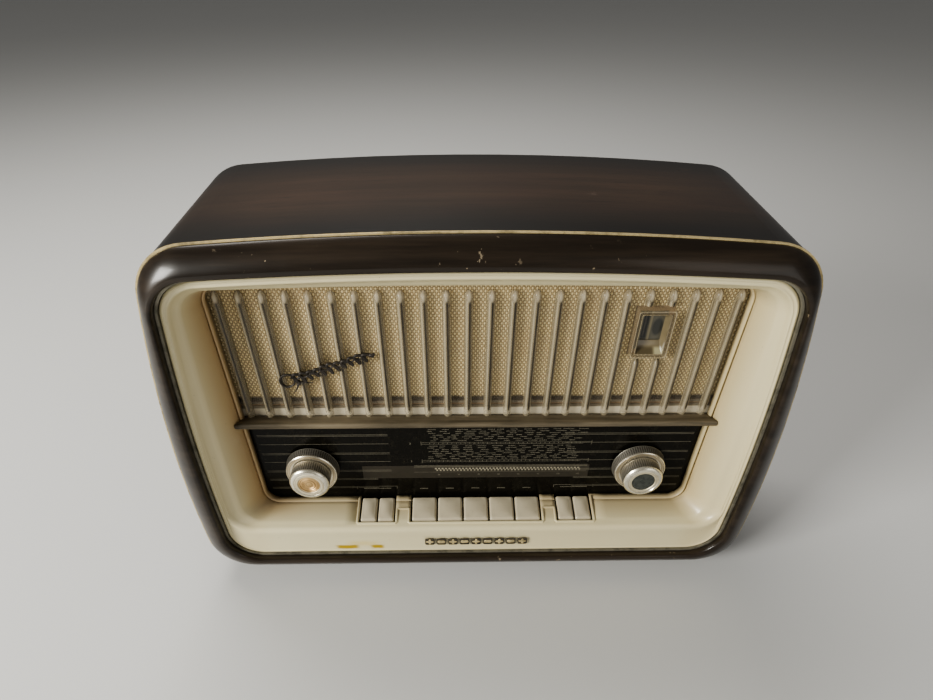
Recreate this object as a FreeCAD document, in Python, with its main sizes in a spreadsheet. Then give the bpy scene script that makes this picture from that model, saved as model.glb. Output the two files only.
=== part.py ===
import FreeCAD, Part
import Sketcher
import math
import os
import re
from FreeCAD import Vector

# Tabletop valve radio with a wooden cabinet, as an assembly of separate pieces.
# Frame: +Z up, the front faces -Y, X runs to the right as seen from the front.
# The origin is at the middle of the footprint, on the surface that the radio stands on.
# Lengths are millimetres and angles are degrees.

SIZES = {
    # cabinet outline, seen from the front
    "half_width": 264.5,          # half of the widest part of the cabinet
    "widest_height": 68,          # height at which the bowed sides are widest
    "side_draw": 36.8,            # how far the bowed sides come in at the top
    "top_height": 354.8,          # highest point of the crowned top
    "top_radius": 2490,           # crown of the top
    "top_corner": 45,
    "bottom_corner": 36,
    "foot_height": 10,            # gap between the cabinet and the table
    "wrap_depth": 160,            # bent plywood wrap, from the gold line to its back edge
    "wrap_wall": 11,
    "nose_depth": 14,             # how far the rounded front frame stands ahead of the gold line
    "nose_round": 11.5,
    "nose_lip_round": 3,
    "gold_width": 3,
    "gold_thick": 1.6,
    "gold_proud": 0.8,
    # front opening of the frame, which holds the ivory mask
    "frame_band": 23.5,           # frame width at the widest height
    "frame_upper_band": 12,       # at the sides, just below the top corners
    "frame_top_band": 24.5,
    "frame_bottom_band": 22,
    "rim_top_radius": 3222,
    "rim_top_corner": 32,
    "rim_bottom_corner": 30,
    "trim_width": 2.0,            # thin metal line between frame and mask
    "trim_depth": 9,
    "trim_gap": 0.25,
    "mask_lead": 6,               # mask rim ahead of the gold line
    "mask_splay": 36,             # depth of the sloping walls
    "mask_seat": 3,               # straight part of the opening, behind the sloping walls
    "mask_rim_depth": 14,
    "mask_wall": 3,
    "mask_lip": 4,
    "mask_top_rail": 6.5,
    "shelf_height": 66,           # front edge of the shelf in front of the dial
    "splay_top_corner": 27,
    "splay_bottom_corner": 24,
    "opening_inset": 34.5,        # mask rim to the edge of grille and dial
    "opening_top_drop": 26.8,
    "opening_bottom": 72.5,
    "opening_corner": 13,
    "seat_gap": 0.3,              # clearance between pieces that seat on each other
    # ribbed grille, cloth and baffle
    "bar_bottom": 172,
    "bar_height": 6,
    "bar_depth": 11,
    "panel_thick": 2,
    "panel_flange": 4,
    "rib_count": 24,
    "rib_margin": 6.6,
    "rib_width": 6.5,
    "rib_depth": 5,
    "rib_end_gap": 6,
    "strip_height": 8,
    "cloth_thick": 0.8,
    "cloth_rise": 2,              # lower edge of the cloth above the strip
    "cloth_inset": 1,
    "baffle_thick": 8,
    "eye_center_x": 138,
    "eye_drop": 43.5,             # from the top of the opening to the middle of the eye window
    "eye_width": 31,
    "eye_height": 44,
    "eye_border": 4.5,
    "eye_frame_depth": 6,
    "eye_pane_thick": 1.5,
    "eye_tube_radius": 11,
    "eye_tube_length": 62,
    "emblem_x": -120,
    "emblem_drop": 88,
    "emblem_width": 84,
    "emblem_height": 13,
    "emblem_thick": 1.5,
    "emblem_tilt": 20,
    "row_count": 9,
    "row_pitch": 11.5,
    "row_tile": 7.5,
    "row_thick": 1.2,
    "row_height": 47,
    # dial
    "glass_thick": 3,
    "glass_flange": 4,
    "glass_drop": 10,             # glass edge below the lip of the shelf
    "reflector_gap": 5,
    "reflector_thick": 1.2,
    "reflector_inset": 8,
    "reflector_rise": 16,         # above the lower edge of the glass
    "reflector_drop": 2,
    "pointer_width": 1.6,
    "pointer_thick": 0.8,
    "rail_radius": 1.5,
    "rail_drop": 4,
    "rail_inset": 12,
    "rail_stop_width": 4,
    "rail_stop_height": 5,
    "slider_width": 10,
    "slider_height": 6,
    "pointer_gap": 0.4,
    "lamp_radius": 5,
    "lamp_length": 16,
    # knobs, two on each shaft line
    "knob_spread": 156,
    "knob_height": 115,
    "ring_radius": 25,
    "ring_thick": 9.5,
    "ring_gap": 2.6,
    "ring_taper": 2.2,
    "knob_radius": 18.4,
    "knob_thick": 14,
    "knob_gap": 0.6,
    "knob_chamfer": 2,
    "cap_radius": 13.5,
    "cap_thick": 1.6,
    "tube_shaft_radius": 5,
    "shaft_radius": 3,
    "shaft_clearance": 0.05,
    "glass_hole": 7,
    "control_radius": 17,
    "control_depth": 22,
    "bracket_arm_x": 118,         # arms that hold the reflector
    "bracket_arm_height": 22,
    "bracket_foot": 6,            # how far the brackets reach over the chassis
    "control_gap": 22,            # back of the dial glass to the control bodies
    # keys
    "key_front": 3.5,             # front of the key caps, behind the gold line
    "key_length": 27,
    "key_top_front": 70,
    "key_top_rise": 4,
    "key_low": 56,
    "key_pitch": 25.6,
    "key_slit": 1.4,
    "small_pitch": 17,
    "small_offset": 97.2,         # middle of each pair of small keys
    "key_margin": 1.4,
    "key_well_drop": 14,
    "key_well_rise": 40,
    "key_round": 2,
    "key_stem_width": 8,
    "key_stem_thick": 3,
    "key_pivot": 74,              # pivot behind the gold line
    "key_pin_radius": 1.5,
    "rack_thick": 1.5,
    "rack_depth": 22,
    # chassis and what stands on it
    "chassis_side_gap": 8,        # chassis to the inside of the swelling
    "chassis_lift": 19,           # chassis above the cabinet floor, on its legs
    "chassis_leg": 10,
    "chassis_front": 92,
    "chassis_depth": 84,
    "chassis_top": 92,
    "sheet_thick": 1.5,
    "mains_width": 66,
    "mains_depth": 56,
    "mains_height": 68,
    "mains_x": 130,
    "mains_back": 14,             # from the front of the chassis, as the others below
    "coil_width_share": 0.64,     # winding to core
    "coil_height_share": 0.7,
    "output_width": 44,
    "output_depth": 38,
    "output_height": 40,
    "output_x": 50,
    "output_back": 46,
    "valve_radius": 11,
    "valve_height": 62,
    "valve_pitch": 38,
    "valve_x": -150,
    "valve_back": 62,
    "valve_seat_height": 7,
    "valve_seat_rim": 1.5,
    "can_width": 25,
    "can_height": 50,
    "can_x": -130,
    "can_pitch": 36,
    "can_back": 8,
    "smoother_radius": 17,
    "smoother_height": 58,
    "smoother_x": -10,
    "smoother_back": 24,
    "tuner_x": 40,
    "tuner_back": 4,
    "tuner_width": 46,
    "tuner_depth": 40,
    "tuner_height": 44,
    "tuner_wall": 2,
    "vane_radius": 16,
    "vane_count": 6,
    "vane_thick": 1,
    "vane_pitch": 4.4,
    "drum_radius": 38,
    "drum_thick": 6,
    # loudspeaker
    "speaker_radius": 58,
    "speaker_x": -40,
    "speaker_flange": 2.5,
    "speaker_depth": 42,
    "speaker_neck": 26,
    "speaker_lip": 9,
    "speaker_mouth": 8,            # straight front part of the basket
    "coil_radius": 12,
    "basket_wall": 1.5,
    "magnet_radius": 30,
    "magnet_depth": 22,
    "cone_wall": 1.2,
    "cone_edge": 1.5,             # rim of the cone behind the baffle
    "cone_rim": 3,
    "cone_room": 10,              # cone bottom to the back of the basket
    # aerial
    "rod_radius": 5,
    "rod_length": 135,
    "rod_x": 120,
    "rod_plate_width": 30,
    "rod_plate_depth": 20,
    "rod_drop": 42.8,             # below the highest point of the top
    "rod_post_radius": 4,
    # back
    "bulge": 35,                  # how far the back cover swells out of the cabinet
    "bulge_half_width": 176,
    "bulge_top": 240,
    "back_thick": 3,
    "back_inset": 3,
    "slot_count": 15,
    "slot_width": 5,
    "slot_length": 60,
    "slot_drop": 18,              # below the top of the swelling
    "slot_rise": 16,              # upper slots above the swelling
    "slot_upper_length": 42,
    "screw_head_radius": 4,
    "screw_head_thick": 2,
    "screw_radius": 1.8,
    "screw_length": 10,
    "screw_drop": 75,             # upper screws below the top of the cabinet
    "screw_edge": 3,
    "plate_width": 90,
    "plate_height": 34,
    "plate_thick": 2,
    "plate_x": -110,
    "plate_rise": 20,             # above the lower edge of the swelling
    "socket_hole": 2,
    "socket_count": 5,
    "grommet_radius": 8,
    "grommet_bore": 4,
    "grommet_x": 100,
    "grommet_rise": 36,
    "grommet_gap": 0.1,
    # base
    "foot_radius": 11,
    "foot_inset": 42,
    "plinth_height": 6,
    "plinth_thick": 8,
    "plinth_half_width": 226,
}

# Places that follow from the sizes. gold is the plane of the gold line.
PLACES = {
    "gold_y": "(nose_depth - wrap_depth - bulge - plate_thick) / 2",
    "nose_y": "gold_y - nose_depth",
    "back_y": "gold_y + wrap_depth",
    "mask_y": "gold_y - mask_lead",
    "seat_y": "mask_y + mask_splay + mask_seat",
    "side_rise": "top_height - widest_height",
    "side_radius": "(side_rise ^ 2 + side_draw ^ 2) / (2 * side_draw)",
    "rim_half": "half_width - frame_band",
    "rim_top": "top_height - frame_top_band",
    "rim_bottom": "foot_height + frame_bottom_band",
    "rim_side_rise": "rim_top - widest_height",
    "body_draw": "side_radius - sqrt(side_radius ^ 2 - rim_side_rise ^ 2)",
    "rim_side_draw": "body_draw - frame_band + frame_upper_band",
    "rim_side_radius": "(rim_side_rise ^ 2 + rim_side_draw ^ 2) / (2 * rim_side_draw)",
    "opening_half": "rim_half - opening_inset",
    "opening_top": "rim_top - opening_top_drop",
    "bar_top": "bar_bottom + bar_height",
    "bar_y": "mask_y + mask_splay - bar_depth",
    "panel_y": "seat_y + seat_gap",
    "panel_half": "opening_half + panel_flange",
    "panel_low": "bar_bottom + bar_height / 2 + seat_gap / 2",
    "panel_high": "opening_top + panel_flange",
    "rib_pitch": "(2 * opening_half - 2 * rib_margin) / (rib_count - 1)",
    "cloth_y": "panel_y + panel_thick + seat_gap",
    "baffle_y": "cloth_y + cloth_thick + seat_gap",
    "baffle_back": "baffle_y + baffle_thick",
    "grille_middle": "(bar_top + opening_top) / 2",
    "eye_middle": "opening_top - eye_drop",
    "glass_low": "opening_bottom - glass_drop",
    "glass_high": "bar_bottom + bar_height / 2 - seat_gap / 2",
    "glass_back": "panel_y + glass_thick",
    "reflector_y": "glass_back + reflector_gap",
    "reflector_back": "reflector_y + reflector_thick",
    "ring_back": "panel_y - ring_gap",
    "ring_front": "ring_back - ring_thick",
    "knob_back": "ring_front - knob_gap",
    "knob_front": "knob_back - knob_thick",
    "control_front": "glass_back + control_gap",
    "key_back": "key_front + key_length",
    "rack_front": "key_pivot - rack_depth / 2",
    "chassis_half": "bulge_half_width - back_thick - chassis_side_gap",
    "chassis_low": "foot_height + wrap_wall + chassis_lift",
    "chassis_y": "gold_y + chassis_front",
    "speaker_y": "baffle_back + seat_gap",
    "tuner_y": "chassis_y + tuner_back",
    "rod_height": "top_height - rod_drop",
    "aerial_y": "(baffle_back + back_y - back_inset - back_thick) / 2",
    "reflector_low": "glass_low + reflector_rise",
    "reflector_high": "glass_high - reflector_drop",
}


def bound(text):
    """Points each name of a size or a place in an expression at its cell or property."""
    def swap(match):
        word = match.group(0)
        if word in SIZES:
            return "Sizes." + word
        if word in PLACES:
            return "Places." + word
        return word
    return re.sub(r"[a-z]+(?:_[a-z]+)*", swap, text)


doc = FreeCAD.newDocument("valve_radio")
sheet = doc.addObject("Spreadsheet::Sheet", "Sizes")
for row, (alias, value) in enumerate(SIZES.items(), start=1):
    sheet.set("A%d" % row, alias)
    sheet.set("B%d" % row, str(value))
    sheet.setAlias("B%d" % row, alias)
doc.recompute()
places = doc.addObject("App::VarSet", "Places")
for alias, formula in PLACES.items():
    places.addProperty("App::PropertyFloat", alias, "Places")
    places.setExpression(alias, bound(formula))
    doc.recompute()


class Numbers:
    """The sizes and places as plain numbers, for shapes made with Part's own functions."""


n = Numbers()
for alias in SIZES:
    setattr(n, alias, float(sheet.get(alias)))
for alias in PLACES:
    setattr(n, alias, float(getattr(places, alias)))

nodes = {}


def keep(name, piece):
    """Gives a finished sub-part its Label, which names its file."""
    piece.Label = name
    nodes[name] = piece
    return piece


def primitive(kind, sizes, at=("0", "0", "0"), turn=None):
    """A Part primitive whose sizes and place are bound to the sheet."""
    piece = doc.addObject(kind, "Shape")
    if turn:
        axis, angle = turn
        piece.Placement = FreeCAD.Placement(Vector(0, 0, 0), FreeCAD.Rotation(axis, angle))
    for prop, formula in sizes.items():
        piece.setExpression(prop, bound(formula))
    for letter, formula in zip("xyz", at):
        piece.setExpression("Placement.Base." + letter, bound(formula))
    return piece


def box(x, y, z, low):
    """A box of size x, y, z with its lowest corner at low."""
    return primitive("Part::Box", {"Length": x, "Width": y, "Height": z}, low)


AXIS_Y = (Vector(1, 0, 0), -90)    # turns a cylinder's axis from +Z to +Y
AXIS_X = (Vector(0, 1, 0), 90)     # turns a cylinder's axis from +Z to +X


def rod(radius, length, start, turn=None):
    """A cylinder that starts at the middle of one end."""
    return primitive("Part::Cylinder", {"Radius": radius, "Height": length}, start, turn)


def cut(base, tool):
    result = doc.addObject("Part::Cut", "Cut")
    result.Base = base
    result.Tool = tool
    return result


def fuse(pieces):
    result = doc.addObject("Part::MultiFuse", "Fuse")
    result.Shapes = pieces
    return result


def group(pieces):
    """Separate solids that share one node."""
    result = doc.addObject("Part::Compound", "Group")
    result.Links = pieces
    return result


def solid(shape):
    """A Part::Feature for a shape that neither a body nor a primitive can give."""
    result = doc.addObject("Part::Feature", "Solid")
    result.Shape = shape
    return result


def origin_plane(body, role):
    return next(plane for plane in body.Origin.OriginFeatures if plane.Role == role)


def value_of(formula):
    """The number that a formula of sizes gives, read back from a bound property."""
    probe = doc.getObject("Probe") or doc.addObject("App::VarSet", "Probe")
    if "value" not in probe.PropertiesList:
        probe.addProperty("App::PropertyFloat", "value", "Probe")
    probe.setExpression("value", bound(formula))
    probe.recompute()
    return probe.value


def turned(profile, at):
    """A PartDesign body turned about the Y direction: profile is (radius, distance) pairs.

    The sketch lies in the body's XY plane, with its radius along X and the axis along Y.
    Each corner of the closed outline is fixed by bound distances from the origin.
    """
    body = doc.addObject("PartDesign::Body", "Turned")
    sketch = body.newObject("Sketcher::SketchObject", "Profile")
    sketch.AttachmentSupport = [(origin_plane(body, "XY_Plane"), "")]
    sketch.MapMode = "FlatFace"
    corners = [Vector(value_of(radius), value_of(along), 0) for radius, along in profile]
    count = len(corners)
    for index, corner in enumerate(corners):
        sketch.addGeometry(Part.LineSegment(corner, corners[(index + 1) % count]), False)
    for index in range(count):
        joined = Sketcher.Constraint("Coincident", index, 2, (index + 1) % count, 1)
        sketch.addConstraint(joined)
    for index, formulas in enumerate(profile):
        distances = zip(("DistanceX", "DistanceY"), formulas, corners[index])
        for kind, formula, value in distances:
            number = sketch.addConstraint(Sketcher.Constraint(kind, -1, 1, index, 1, value))
            sketch.setExpression("Constraints[%d]" % number, bound(formula))
    turn = body.newObject("PartDesign::Revolution", "Turn")
    turn.Profile = sketch
    turn.ReferenceAxis = (sketch, ["V_Axis"])
    turn.Angle = 360
    for letter, formula in zip("xyz", at):
        body.setExpression("Placement.Base." + letter, bound(formula))
    return body


class Outline:
    """Front view of the cabinet or one of its openings: bowed sides, a crowned top, a flat
    bottom and four round corners, all tangent to each other."""

    def __init__(self, half, side_radius, top, top_radius, bottom, top_corner, bottom_corner):
        self.half = half
        self.side_radius = side_radius
        self.top = top
        self.top_radius = top_radius
        self.bottom = bottom
        self.top_corner = top_corner
        self.bottom_corner = bottom_corner

    def grown(self, by):
        """The same outline moved outwards by a constant distance, or inwards if negative."""
        return Outline(self.half + by, self.side_radius + by, self.top + by,
                       self.top_radius + by, self.bottom - by,
                       max(self.top_corner + by, 0.5), max(self.bottom_corner + by, 0.5))

    def half_at(self, z):
        """Half of the width at height z, on the bowed side."""
        rise = z - n.widest_height
        return self.half - self.side_radius + math.sqrt(self.side_radius ** 2 - rise ** 2)

    def wire(self, y):
        """The closed outline in the plane at distance y."""
        side = Vector(self.half - self.side_radius, 0, n.widest_height)
        crown = Vector(0, 0, self.top - self.top_radius)
        upper = meeting(side, self.side_radius - self.top_corner,
                        crown, self.top_radius - self.top_corner)
        low_z = self.bottom + self.bottom_corner
        reach = self.side_radius - self.bottom_corner
        low_x = side.x + math.sqrt(reach ** 2 - (low_z - side.z) ** 2)
        lower = Vector(low_x, 0, low_z)
        start = Vector(low_x, 0, self.bottom)
        side_low = side + unit(lower - side) * self.side_radius
        side_high = side + unit(upper - side) * self.side_radius
        top_end = crown + unit(upper - crown) * self.top_radius
        right = [
            arc(start, lower, side_low, self.bottom_corner),
            arc(side_low, side, side_high, self.side_radius),
            arc(side_high, upper, top_end, self.top_corner),
        ]
        left = [mirrored(curve) for curve in reversed(right)]
        crown_arc = Part.Arc(top_end, Vector(0, 0, self.top), flipped(top_end))
        floor = Part.LineSegment(flipped(start), start)
        curves = right + [crown_arc] + left + [floor]
        wire = Part.Wire([curve.toShape() for curve in curves])
        wire.translate(Vector(0, y, 0))
        return wire

    def slab(self, y_front, y_back):
        """The outline as a solid between two planes."""
        return Part.Face(self.wire(y_front)).extrude(Vector(0, y_back - y_front, 0))


def unit(vector):
    return vector / vector.Length


def flipped(point):
    return Vector(-point.x, point.y, point.z)


def arc(start, center, end, radius):
    """An arc from start to end about center."""
    middle = center + unit(unit(start - center) + unit(end - center)) * radius
    return Part.Arc(start, middle, end)


def mirrored(curve):
    """The same arc on the other side of the middle plane, run the other way."""
    first = curve.value(curve.FirstParameter)
    last = curve.value(curve.LastParameter)
    middle = curve.value((curve.FirstParameter + curve.LastParameter) / 2)
    return Part.Arc(flipped(last), flipped(middle), flipped(first))


def meeting(first, first_radius, second, second_radius):
    """The upper right point where two circles in the XZ plane cross."""
    between = second - first
    gap = between.Length
    along = (first_radius ** 2 - second_radius ** 2 + gap ** 2) / (2 * gap)
    aside = math.sqrt(first_radius ** 2 - along ** 2)
    foot = first + unit(between) * along
    across = Vector(-unit(between).z, 0, unit(between).x)
    points = (foot + across * aside, foot - across * aside)
    return max(points, key=lambda point: point.x + point.z)


def edges_at(shape, y):
    """The edges that lie in the plane at distance y."""
    return [edge for edge in shape.Edges
            if abs(edge.BoundBox.YMin - y) < 0.001 and abs(edge.BoundBox.YMax - y) < 0.001]


STRAIGHT = 100000.0    # radius of a side or top that is straight

body_outline = Outline(n.half_width, n.side_radius, n.top_height, n.top_radius,
                       n.foot_height, n.top_corner, n.bottom_corner)
rim_outline = Outline(n.rim_half, n.rim_side_radius, n.rim_top, n.rim_top_radius,
                      n.rim_bottom, n.rim_top_corner, n.rim_bottom_corner)
splay_outline = Outline(n.rim_half - n.mask_lip, n.rim_side_radius - n.mask_lip,
                        n.rim_top - n.mask_top_rail, n.rim_top_radius - n.mask_top_rail,
                        n.shelf_height, n.splay_top_corner, n.splay_bottom_corner)
opening_outline = Outline(n.opening_half, STRAIGHT, n.opening_top, STRAIGHT,
                          n.opening_bottom, n.opening_corner, n.opening_corner)


# ---- cabinet -------------------------------------------------------------------------

def cabinet_wrap():
    """Bent plywood shell: both sides, top and floor in one ring."""
    front = n.gold_y + n.gold_thick / 2
    outer = body_outline.slab(front, n.back_y)
    inner = body_outline.grown(-n.wrap_wall).slab(front, n.back_y)
    return keep("cabinet_wrap", solid(outer.cut(inner)))


def front_frame():
    """Solid wood frame with a rounded outer edge and a rebate for the gold line."""
    back = n.gold_y + n.gold_thick / 2
    hole = rim_outline.grown(2 * n.trim_gap + n.trim_width)
    frame = body_outline.slab(n.nose_y, back).cut(hole.slab(n.nose_y, back))
    outer_edges = [edge for edge in edges_at(frame, n.nose_y)
                   if reaches(edge, body_outline)]
    inner_edges = [edge for edge in edges_at(frame, n.nose_y)
                   if not reaches(edge, body_outline)]
    frame = frame.makeFillet(n.nose_round, outer_edges)
    inner_edges = matching(frame, inner_edges)
    frame = frame.makeFillet(n.nose_lip_round, inner_edges)
    rebate = body_outline.grown(1).slab(n.gold_y - n.gold_thick / 2, back + 1)
    core = body_outline.grown(-n.gold_width - n.seat_gap)
    rebate = rebate.cut(core.slab(n.gold_y - n.gold_thick / 2, back + 1))
    return keep("front_frame", solid(frame.cut(rebate)))


def reaches(edge, outline):
    """Whether an edge's middle lies on an outline."""
    middle = edge.valueAt((edge.FirstParameter + edge.LastParameter) / 2)
    wire = outline.wire(middle.y)
    return wire.distToShape(Part.Vertex(middle))[0] < 0.01


def matching(shape, edges):
    """The edges of a shape with the same middles as the given ones."""
    middles = [edge.CenterOfMass for edge in edges]
    return [edge for edge in shape.Edges
            if any((edge.CenterOfMass - middle).Length < 0.01 for middle in middles)]


def outer_gold_trim():
    """Thin brass line round the joint between frame and wrap."""
    front = n.gold_y - n.gold_thick / 2
    back = n.gold_y + n.gold_thick / 2
    outer = body_outline.grown(n.gold_proud).slab(front, back)
    inner = body_outline.grown(-n.gold_width).slab(front, back)
    return keep("outer_gold_trim", solid(outer.cut(inner)))


def inner_trim():
    """Thin metal line between the frame and the ivory mask."""
    front = n.mask_y - 1
    back = front + n.trim_depth
    outer = rim_outline.grown(n.trim_gap + n.trim_width).slab(front, back)
    inner = rim_outline.grown(n.trim_gap).slab(front, back)
    return keep("inner_trim", solid(outer.cut(inner)))


def key_groups():
    """The centre and half width of each group of keys."""
    small = n.small_pitch - n.key_slit / 2
    large = 2.5 * n.key_pitch - n.key_slit / 2
    return [(-n.small_offset, small), (0, large), (n.small_offset, small)]


def front_mask():
    """Thin moulding: a rim, a front rail, sloping walls and the seat of grille and dial."""
    splay_back = n.mask_y + n.mask_splay
    rail_back = n.mask_y + n.mask_wall
    rim_back = n.mask_y + n.mask_rim_depth
    plate = rim_outline.slab(n.mask_y, rail_back)
    band = rim_outline.slab(rail_back, rim_back)
    band = band.cut(rim_outline.grown(-n.mask_wall).slab(rail_back, rim_back))
    wall = n.mask_wall
    funnel = Part.makeLoft([splay_outline.grown(wall).wire(n.mask_y),
                            opening_outline.grown(wall).wire(n.seat_y)], True, True)
    room = Part.makeLoft([splay_outline.wire(n.mask_y),
                          opening_outline.wire(splay_back)], True, True)
    mask = plate.fuse([band, funnel]).common(rim_outline.slab(n.mask_y, n.seat_y))
    mask = mask.cut(room).cut(opening_outline.slab(splay_back, n.seat_y))
    well_front = n.gold_y + n.key_front - n.key_margin
    for center, half in key_groups():
        width = 2 * (half + n.key_margin)
        well = Part.makeBox(width, n.seat_y - well_front + 1,
                            n.key_well_drop + n.key_well_rise - n.key_top_rise,
                           Vector(center - width / 2, well_front,
                                  n.key_low - n.key_well_drop))
        mask = mask.cut(well)
    return keep("front_mask", solid(mask.removeSplitter()))


def base():
    """Four rubber feet, and the dark batten under the front of the cabinet."""
    reach = "(half_width - foot_inset)"
    front = "gold_y + foot_inset / 2"
    back = "back_y - foot_inset / 2"
    spots = [(side + reach, y) for side in ("-", "") for y in (front, back)]
    feet = [rod("foot_radius", "foot_height", (x, y, "0")) for x, y in spots]
    keep("feet", group(feet))
    keep("plinth", box("2 * plinth_half_width", "plinth_thick", "plinth_height",
                       ("-plinth_half_width", "gold_y + gold_thick",
                        "foot_height - plinth_height")))


# ---- grille ---------------------------------------------------------------------------

def eye_hole(y, depth, margin):
    """A box through the grille where the eye window sits, larger by a margin."""
    width = "eye_width + 2 * %s" % margin
    height = "eye_height + 2 * %s" % margin
    low = ("eye_center_x - eye_width / 2 - %s" % margin, y,
           "eye_middle - eye_height / 2 - %s" % margin)
    return box(width, depth, height, low)


def grille_panel():
    """Clear plate with half-round ribs, cut away for the eye window."""
    plate = box("2 * panel_half", "panel_thick", "panel_high - panel_low",
                ("-panel_half", "panel_y", "panel_low"))
    bars = [plate]
    for index in range(int(n.rib_count)):
        middle = "-opening_half + rib_margin + %d * rib_pitch" % index
        bars.append(box("rib_width", "rib_depth + panel_thick / 2",
                        "opening_top - rib_end_gap - bar_top - seat_gap",
                        (middle + " - rib_width / 2", "panel_y - rib_depth",
                         "bar_top + seat_gap")))
    hole = eye_hole("panel_y - rib_depth - 1", "rib_depth + panel_thick + 2", "seat_gap")
    return keep("grille_panel", cut(fuse(bars), hole))


def eye_window():
    """Clear bevelled window in front of the tuning eye: a frame with a pane at its back."""
    block = eye_hole("panel_y - eye_frame_depth", "eye_frame_depth + panel_thick", "0")
    pocket = box("eye_width - 2 * eye_border", "eye_frame_depth + panel_thick - eye_pane_thick",
                 "eye_height - 2 * eye_border",
                 ("eye_center_x - eye_width / 2 + eye_border",
                  "panel_y - eye_frame_depth",
                  "eye_middle - eye_height / 2 + eye_border"))
    return keep("eye_window", cut(block, pocket))


def cloth_and_strip():
    """Stretched cloth behind the grille and the pale strip below it."""
    low = "bar_top + strip_height + cloth_rise"
    width = "2 * (panel_half - cloth_inset)"
    left = "-panel_half + cloth_inset"
    sheet_box = box(width, "cloth_thick", "panel_high - cloth_inset - (%s)" % low,
                    (left, "cloth_y", low))
    keep("speaker_cloth", cut(sheet_box, eye_hole("cloth_y - 1", "cloth_thick + 2", "0")))
    keep("grille_foot_strip",
         box(width, "cloth_thick", "strip_height + bar_height / 2",
             (left, "cloth_y", "bar_top - bar_height / 2")))


def baffle_board():
    """Plywood board that carries the loudspeaker, the eye tube and the cloth."""
    board = body_outline.grown(-n.wrap_wall - n.seat_gap).slab(n.baffle_y, n.baffle_back)
    size = 2 * n.half_width
    board = board.cut(Part.makeBox(size, n.baffle_thick, n.panel_low,
                                   Vector(-n.half_width, n.baffle_y, 0)))
    for x, z, radius in ((n.speaker_x, n.grille_middle, n.speaker_radius - n.speaker_lip),
                         (n.eye_center_x, n.eye_middle, n.eye_tube_radius + n.seat_gap)):
        hole = Part.makeCylinder(radius, n.baffle_thick, Vector(x, n.baffle_y, z),
                                 Vector(0, 1, 0))
        board = board.cut(hole)
    return keep("baffle_board", solid(board))


def divider_bar():
    """Bar between grille and dial; its ends follow the sloping side walls."""
    middle = n.bar_bottom + n.bar_height / 2
    flare = splay_outline.half_at(middle) - n.opening_half
    front_half = n.opening_half + flare * n.bar_depth / n.mask_splay - 2 * n.seat_gap
    back_half = n.opening_half - n.seat_gap
    splay_back = n.mask_y + n.mask_splay
    back = n.seat_y
    corners = [(-front_half, n.bar_y), (front_half, n.bar_y), (back_half, splay_back),
               (back_half, back), (-back_half, back), (-back_half, splay_back)]
    points = [Vector(x, y, n.bar_bottom) for x, y in corners]
    face = Part.Face(Part.makePolygon(points + points[:1]))
    return keep("divider_bar", solid(face.extrude(Vector(0, 0, n.bar_height))))


def emblem():
    """Slim slanted badge on the ribs, rising to the right."""
    plate = primitive("Part::Box", {"Length": "emblem_width", "Width": "emblem_thick",
                                    "Height": "emblem_height"},
                      ("emblem_x - emblem_width / 2", "panel_y - rib_depth - emblem_thick",
                       "opening_top - emblem_drop - emblem_height / 2"),
                      (Vector(0, -1, 0), n.emblem_tilt))
    return keep("emblem", plate)


def ornament_row():
    """A row of small plain tiles on the front rail of the mask."""
    tiles = []
    for index in range(int(n.row_count)):
        middle = "(%d - (row_count - 1) / 2) * row_pitch" % index
        tiles.append(box("row_tile", "row_thick", "row_tile",
                         (middle + " - row_tile / 2", "mask_y - row_thick",
                          "row_height - row_tile / 2")))
    return keep("ornament_row", group(tiles))


# ---- dial -----------------------------------------------------------------------------

def shaft_holes(radius, y, depth):
    """Two cylinders along the knob shafts, to be cut out of a plate."""
    return group([rod(radius, depth, (side + "knob_spread", y, "knob_height"), AXIS_Y)
                  for side in ("-", "")])


def dial():
    """Printed glass, the pale plate behind it and the lamps that light it."""
    glass = box("2 * (opening_half + glass_flange)", "glass_thick", "glass_high - glass_low",
                ("-opening_half - glass_flange", "panel_y", "glass_low"))
    keep("dial_glass", cut(glass, shaft_holes("glass_hole", "panel_y - 1", "glass_thick + 2")))
    plate = box("2 * (opening_half - reflector_inset)", "reflector_thick",
                "reflector_high - reflector_low",
                ("-opening_half + reflector_inset", "reflector_y", "reflector_low"))
    holes = shaft_holes("glass_hole", "reflector_y - 1", "reflector_thick + 2")
    keep("dial_reflector", cut(plate, holes))
    lamps = []
    for side in ("-", ""):
        lamps.append(rod("lamp_radius", "lamp_length",
                         (side + "(opening_half / 2)",
                          "reflector_back + lamp_radius + seat_gap",
                          "reflector_high - lamp_length")))
    keep("dial_lamps", group(lamps))


def pointer():
    """Steel rail across the dial and the pointer that slides along it."""
    y = "(glass_back + reflector_y) / 2"
    z = "glass_high - rail_drop"
    reach = "opening_half - rail_inset"
    rail = rod("rail_radius", "2 * (%s)" % reach, ("-(%s)" % reach, y, z), AXIS_X)
    stops = [box("rail_stop_width", "reflector_gap / 2", "rail_stop_height",
                 (x, y, z + " - rail_stop_height / 2"))
             for x in ("-(%s)" % reach, reach + " - rail_stop_width")]
    keep("pointer_rail", fuse([rail] + stops))
    front = "glass_back + pointer_gap"
    slider = box("slider_width", "reflector_gap - 2 * pointer_gap", "slider_height",
                 ("-slider_width / 2", front, z + " - slider_height / 2"))
    bore = rod("rail_radius + shaft_clearance", "slider_width + 2",
               ("-slider_width / 2 - 1", y, z), AXIS_X)
    blade = box("pointer_width", "pointer_thick",
                "reflector_high - rail_drop - reflector_low",
                ("-pointer_width / 2", front, "reflector_low"))
    keep("dial_pointer", fuse([cut(slider, bore), blade]))


# ---- knobs, shafts and controls --------------------------------------------------------

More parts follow.
